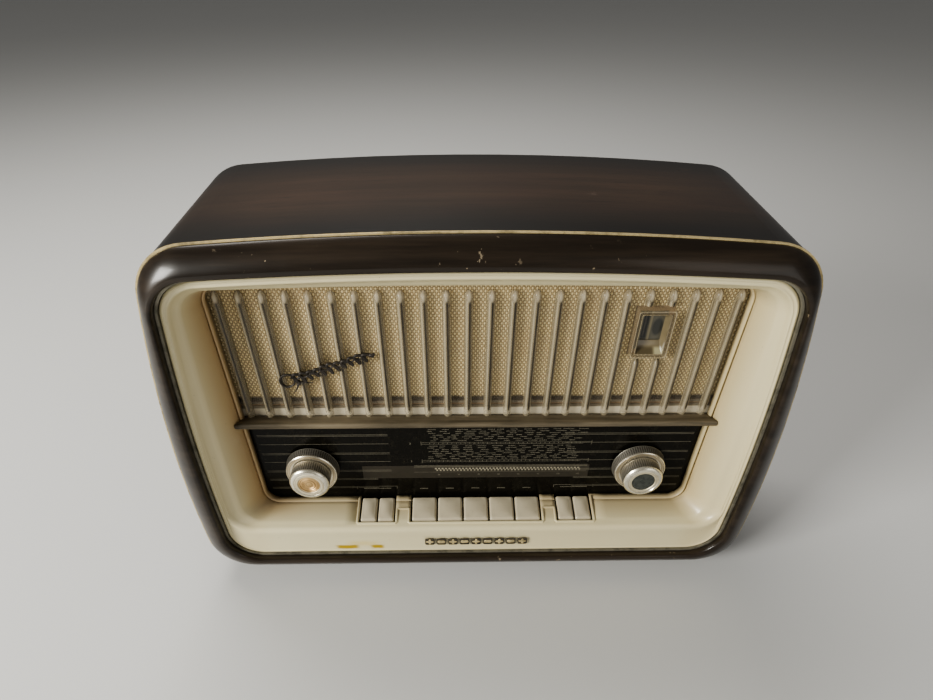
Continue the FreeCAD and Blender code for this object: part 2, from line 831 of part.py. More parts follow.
def knob_set(side, ring, knob):
    """Two knobs on one line: a ring on a tube, and a knob on the shaft inside the tube."""
    x = side + "knob_spread"
    at = (x, "0", "knob_height")
    bore = "tube_shaft_radius + shaft_clearance"
    keep(ring + "_ring", turned([
        (bore, "ring_back"), ("ring_radius", "ring_back"),
        ("ring_radius", "ring_back - ring_thick / 2"),
        ("ring_radius - ring_taper", "ring_front"), (bore, "ring_front")], at))
    inner = "shaft_radius + shaft_clearance"
    keep(ring + "_shaft", turned([
        (inner, "ring_front + 0.3"), ("tube_shaft_radius", "ring_front + 0.3"),
        ("tube_shaft_radius", "control_front + 4"), (inner, "control_front + 4")], at))
    keep(knob + "_knob", turned([
        (inner, "knob_back"), ("knob_radius", "knob_back"),
        ("knob_radius", "knob_front + knob_chamfer"),
        ("knob_radius - knob_chamfer", "knob_front"), ("cap_radius + 0.2", "knob_front"),
        ("cap_radius + 0.2", "knob_front + cap_thick"), ("0", "knob_front + cap_thick"),
        ("0", "knob_front + 2 * cap_thick"), (inner, "knob_front + 2 * cap_thick")], at))
    keep(knob + "_cap", turned([
        ("0", "knob_front"), ("cap_radius", "knob_front"),
        ("cap_radius", "knob_front + cap_thick"), ("0", "knob_front + cap_thick")], at))
    keep(knob + "_shaft", rod("shaft_radius",
                              "control_front + 10 - (knob_front + 2 * cap_thick) - seat_gap",
                              (x, "knob_front + 2 * cap_thick + seat_gap", "knob_height"),
                              AXIS_Y))


def controls():
    """Round control bodies behind the knobs, on brackets that stand on the chassis."""
    bodies = []
    bore = "tube_shaft_radius + shaft_clearance"
    inner = "shaft_radius + shaft_clearance"
    for side in ("-", ""):
        bodies.append(turned([
            (bore, "control_front"), ("control_radius", "control_front"),
            ("control_radius", "control_front + control_depth"),
            ("0", "control_front + control_depth"), ("0", "control_front + 11"),
            (inner, "control_front + 11"), (inner, "control_front + 5"),
            (bore, "control_front + 5")], (side + "knob_spread", "0", "knob_height")))
    keep("controls", group(bodies))
    brackets = []
    back = "control_front + control_depth"
    width = "2 * control_radius"
    for side in ("-", ""):
        low_x = side + "knob_spread - control_radius"
        upright = box(width, "sheet_thick", "knob_height + control_radius - chassis_top",
                      (low_x, back, "chassis_top"))
        foot = box(width, "chassis_y + bracket_foot - (%s)" % back, "sheet_thick",
                   (low_x, back, "chassis_top"))
        brackets.append(fuse([upright, foot]))
        arm_x = side + "bracket_arm_x - sheet_thick / 2"
        brackets.append(box("sheet_thick", "chassis_y + bracket_foot - reflector_back",
                            "bracket_arm_height", (arm_x, "reflector_back", "chassis_top")))
    keep("brackets", group(brackets))


# ---- keys -----------------------------------------------------------------------------

def key(name, center, pitch):
    """Sloping key cap on a flat stem that ends in an eye round the pivot pin."""
    half = pitch / 2 - n.key_slit / 2
    front = n.gold_y + n.key_front
    back = n.gold_y + n.key_back
    pivot = n.gold_y + n.key_pivot
    side_view = [Vector(center - half, front, n.key_low), Vector(center - half, back, n.key_low),
                 Vector(center - half, back, n.key_top_front + n.key_top_rise),
                 Vector(center - half, front, n.key_top_front)]
    cap = Part.Face(Part.makePolygon(side_view + side_view[:1]))
    cap = cap.extrude(Vector(2 * half, 0, 0))
    top_edges = [edge for edge in cap.Edges if edge.BoundBox.ZMin > n.key_top_front - 0.1]
    cap = cap.makeFillet(n.key_round, top_edges)
    stem_low = n.key_low + 0.5
    stem_x = center - n.key_stem_width / 2
    stem = Part.makeBox(n.key_stem_width, pivot - back + 1, n.key_stem_thick,
                        Vector(stem_x, back - 1, stem_low))
    pivot_z = stem_low + n.key_stem_thick / 2
    eye_radius = n.key_pin_radius + 2
    eye = Part.makeCylinder(eye_radius, n.key_stem_width, Vector(stem_x, pivot, pivot_z),
                            Vector(1, 0, 0))
    bore = Part.makeCylinder(n.key_pin_radius + n.shaft_clearance, n.key_stem_width + 2,
                             Vector(stem_x - 1, pivot, pivot_z), Vector(1, 0, 0))
    return keep(name, solid(cap.fuse([stem, eye]).cut(bore).removeSplitter()))


def keys():
    """Five wide keys in the middle and a pair of narrow ones at each side."""
    for index in range(5):
        key("wide_key_%d" % (index + 1), (index - 2) * n.key_pitch, n.key_pitch)
    narrow = [side * n.small_offset + shift * n.small_pitch / 2
              for side in (-1, 1) for shift in (-1, 1)]
    for index, center in enumerate(narrow):
        key("narrow_key_%d" % (index + 1), center, n.small_pitch)


def key_rack():
    """Sheet rack on the cabinet floor with four cheeks that hold the pivot pin."""
    low = "(foot_height + wrap_wall)"
    reach = "(small_offset + small_pitch + 3)"
    middle_cheek = "(2.5 * key_pitch + (small_offset - small_pitch - 2.5 * key_pitch) / 2)"
    pivot_y = "gold_y + key_pivot"
    pivot_z = "key_low + 0.5 + key_stem_thick / 2"
    pieces = [box("2 * " + reach, "rack_depth", "rack_thick",
                  ("-" + reach, "gold_y + rack_front", low))]
    for side in ("-", ""):
        for cheek in (reach, middle_cheek):
            pieces.append(box("rack_thick", "rack_depth", "%s + 5 - %s" % (pivot_z, low),
                              (side + cheek + " - rack_thick / 2", "gold_y + rack_front", low)))
    hole = rod("key_pin_radius + shaft_clearance", "2 * %s + 8" % reach,
               ("-%s - 4" % reach, pivot_y, pivot_z), AXIS_X)
    pin = rod("key_pin_radius", "2 * %s + 4" % reach, ("-%s - 2" % reach, pivot_y, pivot_z),
              AXIS_X)
    keep("key_rack", group([cut(fuse(pieces), hole), pin]))


# ---- chassis --------------------------------------------------------------------------

def on_chassis(x, width, y_offset, depth, height, lift="0"):
    """A box that stands on the chassis with its middle at x."""
    return box(width, depth, height, ("%s - (%s) / 2" % (x, width),
                                      "chassis_y + %s" % y_offset,
                                      "chassis_top + %s" % lift))


def chassis():
    """Folded steel tray, open below, on four legs that stand on the cabinet floor."""
    tray = box("2 * chassis_half", "chassis_depth", "chassis_top - chassis_low",
               ("-chassis_half", "chassis_y", "chassis_low"))
    room = box("2 * chassis_half - 2 * sheet_thick", "chassis_depth - 2 * sheet_thick",
               "chassis_top - sheet_thick - chassis_low + 1",
               ("-chassis_half + sheet_thick", "chassis_y + sheet_thick", "chassis_low - 1"))
    legs = []
    for x in ("-chassis_half", "chassis_half - chassis_leg"):
        for y in ("chassis_y", "chassis_y + chassis_depth / 2"):
            legs.append(box("chassis_leg", "chassis_leg",
                            "chassis_lift + sheet_thick",
                            (x, y, "foot_height + wrap_wall")))
    return keep("chassis", fuse([cut(tray, room)] + legs))


def transformers():
    """Laminated cores, each with its winding standing proud at front and back."""
    for kind in ("mains", "output"):
        x, width, depth, height, back = (kind + part for part in
                                         ("_x", "_width", "_depth", "_height", "_back"))
        core = on_chassis(x, width, "(%s + %s / 4)" % (back, depth), depth + " / 2", height)
        coil = on_chassis(x, width + " * coil_width_share", back, depth,
                          height + " * coil_height_share",
                          height + " * (1 - coil_height_share) / 2")
        keep(kind + "_transformer", fuse([core, coil]))


def valves():
    """Five glass valves, each a cylinder with a round top, on a wider base."""
    glass = []
    for index in range(5):
        x = "valve_x + %d * valve_pitch" % index
        y = "chassis_y + valve_back"
        bulb = rod("valve_radius", "valve_height", (x, y, "chassis_top"))
        dome = primitive("Part::Sphere", {"Radius": "valve_radius"},
                         (x, y, "chassis_top + valve_height"))
        seat = rod("valve_radius + valve_seat_rim", "valve_seat_height", (x, y, "chassis_top"))
        glass.append(fuse([bulb, dome, seat]))
    keep("valves", group(glass))


def cans():
    """Square screening cans and the round smoothing capacitor, all in aluminium."""
    pieces = []
    for index in range(3):
        pieces.append(on_chassis("(can_x + %d * can_pitch)" % index, "can_width", "can_back",
                                 "can_width", "can_height"))
    pieces.append(rod("smoother_radius", "smoother_height",
                      ("smoother_x", "chassis_y + smoother_back", "chassis_top")))
    keep("cans", group(pieces))


def tuner():
    """Tuning capacitor: frame with fixed vanes, and a rotor with half-round vanes."""
    wall = "tuner_wall"
    shell = box("tuner_width", "tuner_depth", "tuner_height",
                ("tuner_x - tuner_width / 2", "tuner_y", "chassis_top"))
    room = box("tuner_width - 2 * tuner_wall", "tuner_depth - 2 * tuner_wall",
               "tuner_height", ("tuner_x - tuner_width / 2 + tuner_wall",
                                "tuner_y + tuner_wall", "chassis_top + " + wall))
    bore = rod("shaft_radius + shaft_clearance", "tuner_depth + 2",
               ("tuner_x", "tuner_y - 1", "knob_height"), AXIS_Y)
    fixed = [cut(cut(shell, room), bore)]
    first = "tuner_y + tuner_depth / 2 - vane_pitch * (vane_count - 1) / 2"
    for index in range(int(n.vane_count) - 1):
        y = "%s + %s * vane_pitch - vane_thick / 2" % (first, index + 0.5)
        fixed.append(box("tuner_width / 2 - tuner_wall - 5", "vane_thick", "24",
                         ("tuner_x + 5", y, "knob_height - 12")))
    keep("tuner_frame", group(fixed))
    moving = [rod("shaft_radius", "tuner_y + tuner_depth - (reflector_back + 5)",
                  ("tuner_x", "reflector_back + 5", "knob_height"), AXIS_Y)]
    for index in range(int(n.vane_count)):
        y = "%s + %d * vane_pitch - vane_thick / 2" % (first, index)
        disc = rod("vane_radius", "vane_thick", ("tuner_x", y, "knob_height"), AXIS_Y)
        below = box("2 * vane_radius", "vane_thick", "vane_radius",
                    ("tuner_x - vane_radius", y, "knob_height - vane_radius"))
        moving.append(cut(disc, below))
    keep("tuner_rotor", fuse(moving))
    keep("cord_drum", turned([
        ("shaft_radius + shaft_clearance", "0"), ("drum_radius", "0"),
        ("drum_radius", "drum_thick / 4"), ("drum_radius - 2", "drum_thick / 2"),
        ("drum_radius", "drum_thick * 3 / 4"), ("drum_radius", "drum_thick"),
        ("shaft_radius + shaft_clearance", "drum_thick")],
        ("tuner_x", "reflector_back + 8", "knob_height")))


# ---- loudspeaker, eye tube and aerial ----------------------------------------------------

def loudspeaker():
    """Basket with a flange, a paper cone that moves in it, and the magnet behind."""
    at = ("speaker_x", "speaker_y", "grille_middle")
    mouth = "speaker_radius - speaker_lip"
    wall = "basket_wall"
    keep("speaker_basket", turned([
        (mouth, "0"), ("speaker_radius", "0"), ("speaker_radius", "speaker_flange"),
        (mouth + " + basket_wall", "speaker_flange"), (mouth + " + basket_wall", "speaker_mouth"),
        ("speaker_neck", "speaker_depth"), ("coil_radius", "speaker_depth"),
        ("coil_radius", "speaker_depth - " + wall),
        ("speaker_neck - 1.2 * basket_wall", "speaker_depth - " + wall),
        (mouth, "speaker_mouth")], at))
    rim = mouth + " - seat_gap"
    keep("speaker_cone", turned([
        (rim + " - cone_wall", "cone_edge"), (rim, "cone_edge"),
        (rim, "cone_edge + cone_rim"), ("coil_radius", "speaker_depth - cone_room"),
        ("0", "speaker_depth - cone_room"), ("0", "speaker_depth - cone_room - cone_wall"),
        ("coil_radius - cone_wall", "speaker_depth - cone_room - cone_wall")], at))
    keep("speaker_magnet", turned([
        ("0", "speaker_depth"), ("magnet_radius", "speaker_depth"),
        ("magnet_radius", "speaker_depth + magnet_depth"),
        ("0", "speaker_depth + magnet_depth")], at))


def eye_tube():
    """Tuning eye valve, held in the baffle with a collar behind it."""
    keep("eye_tube", turned([
        ("0", "0"), ("eye_tube_radius", "0"), ("eye_tube_radius", "baffle_thick"),
        ("eye_tube_radius + 4", "baffle_thick"), ("eye_tube_radius + 4", "baffle_thick + 7"),
        ("eye_tube_radius", "baffle_thick + 7"), ("eye_tube_radius", "eye_tube_length"),
        ("0", "eye_tube_length")], ("eye_center_x", "baffle_y", "eye_middle")))


def aerial():
    """Ferrite rod that turns on a pin below the top of the cabinet."""
    x = "rod_x"
    y = "aerial_y"
    edge = "(rod_x + rod_plate_width / 2)"
    ceiling = "top_height - wrap_wall - %s ^ 2 / (2 * top_radius) - seat_gap" % edge
    plate = box("rod_plate_width", "rod_plate_depth", "sheet_thick",
                (x + " - rod_plate_width / 2", y + " - rod_plate_depth / 2",
                 ceiling + " - sheet_thick"))
    pin = rod("rod_post_radius - 1.5", "%s - 1 - rod_height" % ceiling, (x, y, "rod_height"))
    keep("aerial_bracket", fuse([plate, pin]))
    rod_solid = rod("rod_radius", "rod_length", (x + " - rod_length / 2", y, "rod_height"),
                    AXIS_X)
    clip = rod("rod_post_radius + rod_radius", "rod_radius + 10", (x, y, "rod_height"))
    hole = rod("rod_post_radius - 1.5 + shaft_clearance", "40", (x, y, "rod_height - 0.5"))
    keep("ferrite_rod", cut(fuse([rod_solid, clip]), hole))


# ---- back -----------------------------------------------------------------------------

def back_spots():
    """Where the back cover is screwed to the edge of the cabinet."""
    edge = body_outline.grown(-n.wrap_wall - n.screw_head_radius - n.screw_edge)
    high = n.top_height - n.screw_drop
    spots = [(side * edge.half_at(z), z) for side in (-1, 1) for z in (n.widest_height, high)]
    beside = n.bulge_half_width + 5 * n.screw_head_radius
    return spots + [(side * beside, edge.bottom) for side in (-1, 1)]


def back_cover():
    """Pressed board with a swollen lower part for the chassis, and rows of air slots."""
    outline = body_outline.grown(-n.wrap_wall - n.seat_gap)
    back = n.back_y - n.back_inset
    front = back - n.back_thick
    wall = n.back_thick
    low = outline.bottom + 2 * wall
    rear = n.back_y + n.bulge
    half = n.bulge_half_width
    taper = n.bulge / 3

    def swelling(shrink, y_front, y_rear):
        first = frame_wire(half - shrink, low + shrink, n.bulge_top - shrink, y_front)
        last = frame_wire(half - taper - shrink, low + taper + shrink,
                          n.bulge_top - taper - shrink, y_rear)
        return Part.makeLoft([first, last], True, True)

    cover = outline.slab(front, back).fuse(swelling(0, front, rear))
    cover = cover.cut(swelling(wall, front, rear - wall))
    pitch = 2 * (half - taper - 2 * n.slot_width) / (n.slot_count - 1)
    for index in range(int(n.slot_count)):
        x = (index - (n.slot_count - 1) / 2) * pitch - n.slot_width / 2
        lower = n.bulge_top - taper - n.slot_length - n.slot_drop
        upper = n.bulge_top + n.slot_rise
        for z, depth_y, length in ((lower, rear - wall - 1, n.slot_length),
                                   (upper, front - 1, n.slot_upper_length)):
            cover = cover.cut(Part.makeBox(n.slot_width, wall + 2, length,
                                           Vector(x, depth_y, z)))
    for x, z in back_spots():
        hole = Part.makeCylinder(n.screw_radius + 0.1, wall + 2, Vector(x, front - 1, z),
                                 Vector(0, 1, 0))
        cover = cover.cut(hole)
    inlet = Part.makeCylinder(n.grommet_radius - 2, wall + 2,
                              Vector(n.grommet_x, rear - wall - 1, low + n.grommet_rise),
                              Vector(0, 1, 0))
    keep("back_cover", solid(cover.cut(inlet).removeSplitter()))
    screws = []
    for x, z in back_spots():
        head = Part.makeCylinder(n.screw_head_radius, n.screw_head_thick,
                                 Vector(x, back, z), Vector(0, 1, 0))
        shank = Part.makeCylinder(n.screw_radius, n.screw_length,
                                  Vector(x, back - n.screw_length, z), Vector(0, 1, 0))
        screws.append(head.fuse(shank))
    keep("back_screws", solid(Part.makeCompound(screws)))
    grommet = Part.makeCylinder(n.grommet_radius - 2 - n.grommet_gap, wall + 2,
                                Vector(n.grommet_x, rear - wall - 1, low + n.grommet_rise),
                                Vector(0, 1, 0))
    for y in (rear - wall - 2, rear):
        flange = Part.makeCylinder(n.grommet_radius, 2, Vector(n.grommet_x, y, low + n.grommet_rise),
                                   Vector(0, 1, 0))
        grommet = grommet.fuse(flange)
    bore = Part.makeCylinder(n.grommet_bore, wall + 6,
                             Vector(n.grommet_x, rear - wall - 3, low + n.grommet_rise),
                             Vector(0, 1, 0))
    keep("cord_grommet", solid(grommet.cut(bore).removeSplitter()))
    plate = Part.makeBox(n.plate_width, n.plate_thick, n.plate_height,
                         Vector(n.plate_x, rear, low + n.plate_rise))
    for index in range(int(n.socket_count)):
        x = n.plate_x + n.plate_width * (index + 1) / (n.socket_count + 1)
        hole = Part.makeCylinder(n.socket_hole, n.plate_thick,
                                 Vector(x, rear, low + n.plate_rise + n.plate_height / 2),
                                 Vector(0, 1, 0))
        plate = plate.cut(hole)
    keep("socket_plate", solid(plate))


def frame_wire(half, low, high, y):
    """A rectangle in the plane at distance y."""
    points = [Vector(-half, y, low), Vector(half, y, low), Vector(half, y, high),
              Vector(-half, y, high)]
    return Part.makePolygon(points + points[:1])


cabinet_wrap()
front_frame()
outer_gold_trim()
inner_trim()
front_mask()
base()
grille_panel()
eye_window()
cloth_and_strip()
baffle_board()
divider_bar()
emblem()
ornament_row()
dial()
pointer()
knob_set("-", "tone", "volume")
knob_set("", "aerial", "tuning")
controls()
keys()
key_rack()
chassis()
transformers()
valves()
cans()
tuner()
loudspeaker()
eye_tube()
aerial()
back_cover()

doc.recompute()
failed = [piece.Label for piece in doc.Objects
          if "Invalid" in piece.State or "Error" in piece.State]
if failed:
    raise RuntimeError("these objects did not recompute: %s" % failed)
os.makedirs("parts", exist_ok=True)
for name, piece in nodes.items():
    if piece.Shape.isNull() or not piece.Shape.isValid() or not piece.Shape.Solids:
        raise RuntimeError("bad shape in " + name)
    piece.Shape.exportStep("parts/%s.step" % name)
print(len(nodes), "sub-parts written")
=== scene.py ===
import math

import bmesh
import bpy
import numpy as np
from mathutils import Matrix, Vector


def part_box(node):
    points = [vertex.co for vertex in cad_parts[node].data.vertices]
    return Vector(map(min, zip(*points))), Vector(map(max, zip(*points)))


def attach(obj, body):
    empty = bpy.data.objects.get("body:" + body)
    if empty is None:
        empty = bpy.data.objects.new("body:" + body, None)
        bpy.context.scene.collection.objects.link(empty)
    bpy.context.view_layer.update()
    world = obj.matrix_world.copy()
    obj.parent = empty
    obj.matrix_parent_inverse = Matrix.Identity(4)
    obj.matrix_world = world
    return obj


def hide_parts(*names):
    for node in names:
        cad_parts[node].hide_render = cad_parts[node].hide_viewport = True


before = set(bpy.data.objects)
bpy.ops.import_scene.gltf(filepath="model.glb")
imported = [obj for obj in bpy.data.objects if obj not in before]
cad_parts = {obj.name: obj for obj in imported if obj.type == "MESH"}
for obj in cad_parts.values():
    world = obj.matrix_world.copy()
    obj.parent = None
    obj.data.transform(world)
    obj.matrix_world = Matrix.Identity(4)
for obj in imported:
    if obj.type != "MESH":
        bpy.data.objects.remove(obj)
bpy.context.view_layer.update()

# Looks of a tabletop valve radio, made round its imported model.
# Metres; the front faces -Y, +Z is up and +X is to the right as seen from the front.

bl_info = {
    "name": "Valve Radio Looks",
    "version": (1, 0, 0),
    "blender": (4, 5, 0),
    "location": "View3D > Sidebar > Radio",
    "description": "Builds the visible pieces and finishes of a tabletop valve radio",
    "category": "Add Mesh",
}

MM = 0.001


def edges_of(node):
    """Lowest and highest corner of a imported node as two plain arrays."""
    low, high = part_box(node)
    return np.array(low), np.array(high)


MASK_LOW, MASK_HIGH = edges_of("front_mask")
WRAP_LOW, WRAP_HIGH = edges_of("cabinet_wrap")
PANEL_LOW, PANEL_HIGH = edges_of("grille_panel")
GLASS_LOW, GLASS_HIGH = edges_of("dial_glass")
CLOTH_LOW, CLOTH_HIGH = edges_of("speaker_cloth")
SELVEDGE = 183 * MM  # height where the pale strip turns into the grey selvedge
KEY_PITCH = 25.6 * MM
EYE_LOW, EYE_HIGH = edges_of("eye_window")
BAR_LOW, BAR_HIGH = edges_of("divider_bar")
GOLD_LOW, GOLD_HIGH = edges_of("outer_gold_trim")


# ---- sizes and colours that a user would change -------------------------------------------

def length(name, value, about):
    """A length property with its name, its default in metres and what it is."""
    return bpy.props.FloatProperty(name=name, description=about, default=value,
                                   unit="LENGTH", precision=5)


def count(name, value, about):
    return bpy.props.IntProperty(name=name, description=about, default=value, min=1)


def colour(name, value, about):
    return bpy.props.FloatVectorProperty(name=name, description=about, default=value,
                                         subtype="COLOR", size=3, min=0, max=1)


class RadioCabinetLooks(bpy.types.PropertyGroup):
    """Veneer and lacquer, and the section of the rounded front frame."""
    draw: length("Side draw", 36.8 * MM, "How far the bowed sides come in at the top")
    crown: length("Crown", 2.49, "Radius of the crowned top")
    top_corner: length("Top corner", 45 * MM, "Corner radius")
    bottom_corner: length("Bottom corner", 36 * MM, "Corner radius")
    pillow: bpy.props.FloatProperty(name="Pillow", description="Fullness of the front frame",
                                    default=1.42, min=1)
    veneer: colour("Veneer", (0.060, 0.033, 0.0185), "Brown in the middle of each face")
    burst: colour("Burst", (0.0085, 0.0062, 0.0042), "Sprayed dark colour along the edges")
    nose: colour("Front frame", (0.0135, 0.0095, 0.0062), "Lacquer of the rounded front frame")
    gold: colour("Gold line", (0.62, 0.50, 0.27), "Line round the front joint")
    pewter: colour("Inner line", (0.30, 0.28, 0.22), "Line round the mask")


class RadioMaskSizes(bpy.types.PropertyGroup):
    """Ivory mask: two bowed outlines and the straight opening."""
    widest: length("Widest height", 68 * MM, "Height at which the bowed sides are widest")
    rim_draw: length("Rim draw", 19.2 * MM, "How far the sides of the rim come in at the top")
    rim_crown: length("Rim crown", 3.222, "Radius of the rim's crowned top")
    rim_top_corner: length("Rim top corner", 32 * MM, "Corner radius")
    rim_bottom_corner: length("Rim bottom corner", 30 * MM, "Corner radius")
    lip: length("Lip", 4 * MM, "Width of the bead along the rim")
    top_rail: length("Top rail", 6.5 * MM, "Rim to the upper wall")
    shelf: length("Shelf", 66 * MM, "Height of the shelf's front edge")
    wall_top_corner: length("Wall top corner", 27 * MM, "Corner radius")
    wall_bottom_corner: length("Wall bottom corner", 24 * MM, "Corner radius")
    splay: length("Splay", 36 * MM, "Depth of the sloping walls")
    inset: length("Inset", 34.5 * MM, "Rim to the edge of the opening at the sides")
    top_drop: length("Top drop", 26.8 * MM, "Rim to the edge of the opening at the top")
    sill: length("Sill", 72.5 * MM, "Height of the opening's lower edge")
    corner: length("Opening corner", 13 * MM, "Corner radius")
    ivory: colour("Ivory", (0.69, 0.645, 0.435), "Aged ivory plastic")
    # this colour, darker, is also the painted shade deeper into the mask's recess
    shade: colour("Yellowed", (0.50, 0.345, 0.15), "Where the ivory has yellowed")


class RadioGrilleSizes(bpy.types.PropertyGroup):
    """Ribbed clear panel, cloth and tuning-eye window."""
    ribs: count("Ribs", 24, "Number of half-round ribs")
    rib_margin: length("Rib margin", 6.6 * MM, "Side of the opening to the first rib")
    rib_width: length("Rib width", 7.0 * MM, "Width of a rib")
    rib_depth: length("Rib depth", 5 * MM, "How far a rib stands out")
    rib_end: length("Rib end", 6 * MM, "Top of the opening to the end of the ribs")
    thread: length("Thread", 1.70 * MM, "Width of one thread of the cloth")
    # the upper part of this band is painted dark as a shadow
    hem: length("Hem", 8 * MM, "Height of the plain band along the cloth's lower edge")
    eye_border: length("Eye border", 4.5 * MM, "Width of the bevelled window's frame")
    straw: colour("Straw thread", (0.95, 0.775, 0.42), "Light thread")
    umber: colour("Umber thread", (0.52, 0.385, 0.19), "Brown thread")


class RadioDialSizes(bpy.types.PropertyGroup):
    """Print on the dial glass."""
    level: length("Level", 11.3 * MM, "Height between the printed lines")
    line: length("Line", 0.30 * MM, "Thickness of a printed line")
    figures: length("Figures", 3.2 * MM, "Height of the printed numbers")
    ink: colour("Ink", (0.23, 0.21, 0.155), "Printed lines, ticks and numbers")
    band: colour("Band", (0.028, 0.023, 0.015), "Translucent band of the short-wave scale")


class RadioKnobSizes(bpy.types.PropertyGroup):
    """Two pairs of knobs, each pair on one line."""
    teeth: count("Teeth", 72, "Knurls round each knob")
    knurl: length("Knurl", 0.45 * MM, "Depth of the knurling")
    satin: colour("Satin face", (0.70, 0.60, 0.43), "Champagne face of the outer rings")
    copper: colour("Copper", (0.64, 0.45, 0.23), "Centre of the left cap")


class RadioKeySizes(bpy.types.PropertyGroup):
    """Piano keys and the raised border round their wells."""
    round: length("Round", 3.0 * MM, "Rounded edge of a key cap")
    crown: length("Crown", 1.2 * MM, "How far the top of a cap swells")
    margin: length("Margin", 1.4 * MM, "Key to the edge of its well")
    border: length("Border", 1.35 * MM, "Radius of the raised border")
    cap: colour("Key cap", (0.50, 0.45, 0.335), "Aged plastic of the keys")


class RadioStageSizes(bpy.types.PropertyGroup):
    """Camera, floor and soft lights."""
    lens: bpy.props.FloatProperty(name="Lens", description="Focal length in millimetres",
                                  default=22.99, min=5)
    shift: bpy.props.FloatProperty(name="Shift", description="Upward shift of the frame",
                                   default=0.12)
    eye: bpy.props.FloatVectorProperty(name="Eye", description="Place of the camera",
                                       default=(-0.01967, -0.47317, 0.51213), size=3,
                                       subtype="TRANSLATION")
    pitch: bpy.props.FloatProperty(name="Pitch", description="Angle below the horizon",
                                   default=math.radians(43.50), subtype="ANGLE")
    yaw: bpy.props.FloatProperty(name="Yaw", description="Turn about the vertical",
                                 default=math.radians(-1.43), subtype="ANGLE")
    roll: bpy.props.FloatProperty(name="Roll", description="Turn about the line of sight",
                                  default=math.radians(0.50), subtype="ANGLE")
    floor: colour("Floor", (0.62, 0.62, 0.61), "Plain pale floor")


# ---- shader nodes written as expressions --------------------------------------------------

class Wire:
    """A value socket on which Python's own arithmetic adds Math nodes."""

    def __init__(self, tree, socket):
        self.tree = tree
        self.socket = socket

    def math(self, operation, *values):
        return self.tree.node("ShaderNodeMath", {"operation": operation},
                              dict(enumerate(values)))

    def __add__(self, other):
        return self.math("ADD", self, other)

    def __sub__(self, other):
        return self.math("SUBTRACT", self, other)

    def __rsub__(self, other):
        return self.math("SUBTRACT", other, self)

    def __mul__(self, other):
        return self.math("MULTIPLY", self, other)

    def __truediv__(self, other):
        return self.math("DIVIDE", self, other)

    def __pow__(self, other):
        return self.math("POWER", self, other)

    def __mod__(self, other):
        return self.math("FLOORED_MODULO", self, other)

    def __abs__(self):
        return self.math("ABSOLUTE", self)

    def floor(self):
        return self.math("FLOOR", self)

    __radd__ = __add__
    __rmul__ = __mul__

    def sine(self):
        return self.math("SINE", self)

    def least(self, other):
        return self.math("MINIMUM", self, other)

    def rise(self, low, high):
        """0 below low and 1 above high, with a smooth step between them."""
        settings = {"interpolation_type": "SMOOTHSTEP"}
        sockets = {"Value": self, "From Min": low, "From Max": high}
        return self.tree.node("ShaderNodeMapRange", settings, sockets)

    def within(self, low, high, soft):
        """1 between low and high, with soft edges."""
        return self.rise(low - soft, low + soft) * (1 - self.rise(high - soft, high + soft))


class Finish:
    """The nodes of one material."""

    def __init__(self, name):
        self.material = bpy.data.materials.new(name)
        self.material.use_nodes = True
        self.nodes = self.material.node_tree.nodes
        self.links = self.material.node_tree.links
        self.nodes.clear()
        self.place = self.node("ShaderNodeTexCoord", {}, {}, "Object")
        parts = self.node("ShaderNodeSeparateXYZ", {}, {"Vector": self.place}, None)
        self.x, self.y, self.z = (Wire(self, output) for output in parts.outputs)

    def node(self, kind, settings, sockets, output=0):
        """Adds a node: its settings first, then a value or a link for each named socket."""
        node = self.nodes.new(kind)
        for name, value in settings.items():
            setattr(node, name, value)
        for name, value in sockets.items():
            target = node.inputs[name]
            if isinstance(value, Wire):
                self.links.new(value.socket, target)
            elif hasattr(value, "__len__") and len(value) == 3 and target.type == "RGBA":
                target.default_value = (*value, 1)
            else:
                target.default_value = value
        return node if output is None else Wire(self, node.outputs[output])

    def noise(self, scale, detail=3, rough=0.5, stretch=(1, 1, 1)):
        """Noise over the piece, with a different scale along each axis if asked."""
        mapped = self.node("ShaderNodeMapping", {}, {"Vector": self.place,
                                                      "Scale": stretch}, "Vector")
        return self.node("ShaderNodeTexNoise", {}, {"Vector": mapped, "Scale": scale,
                                                     "Detail": detail, "Roughness": rough})

    def mix(self, factor, first, second):
        """Colour from first to second as factor goes from 0 to 1."""
        return self.node("ShaderNodeMix", {"data_type": "RGBA"},
                         {0: factor, 6: first, 7: second}, 2)

    def bump(self, height, distance, strength=1.0):
        return self.node("ShaderNodeBump", {}, {"Height": height, "Distance": distance,
                                                 "Strength": strength}, "Normal")

    def done(self, **sockets):
        """Ends the material in one Principled shader; names use _ for a space."""
        sockets = {name.replace("_", " "): value for name, value in sockets.items()}
        surface = self.node("ShaderNodeBsdfPrincipled", {}, sockets, 0)
        self.node("ShaderNodeOutputMaterial", {}, {"Surface": surface}, None)
        return self.material


# ---- meshes from grids of points ----------------------------------------------------------

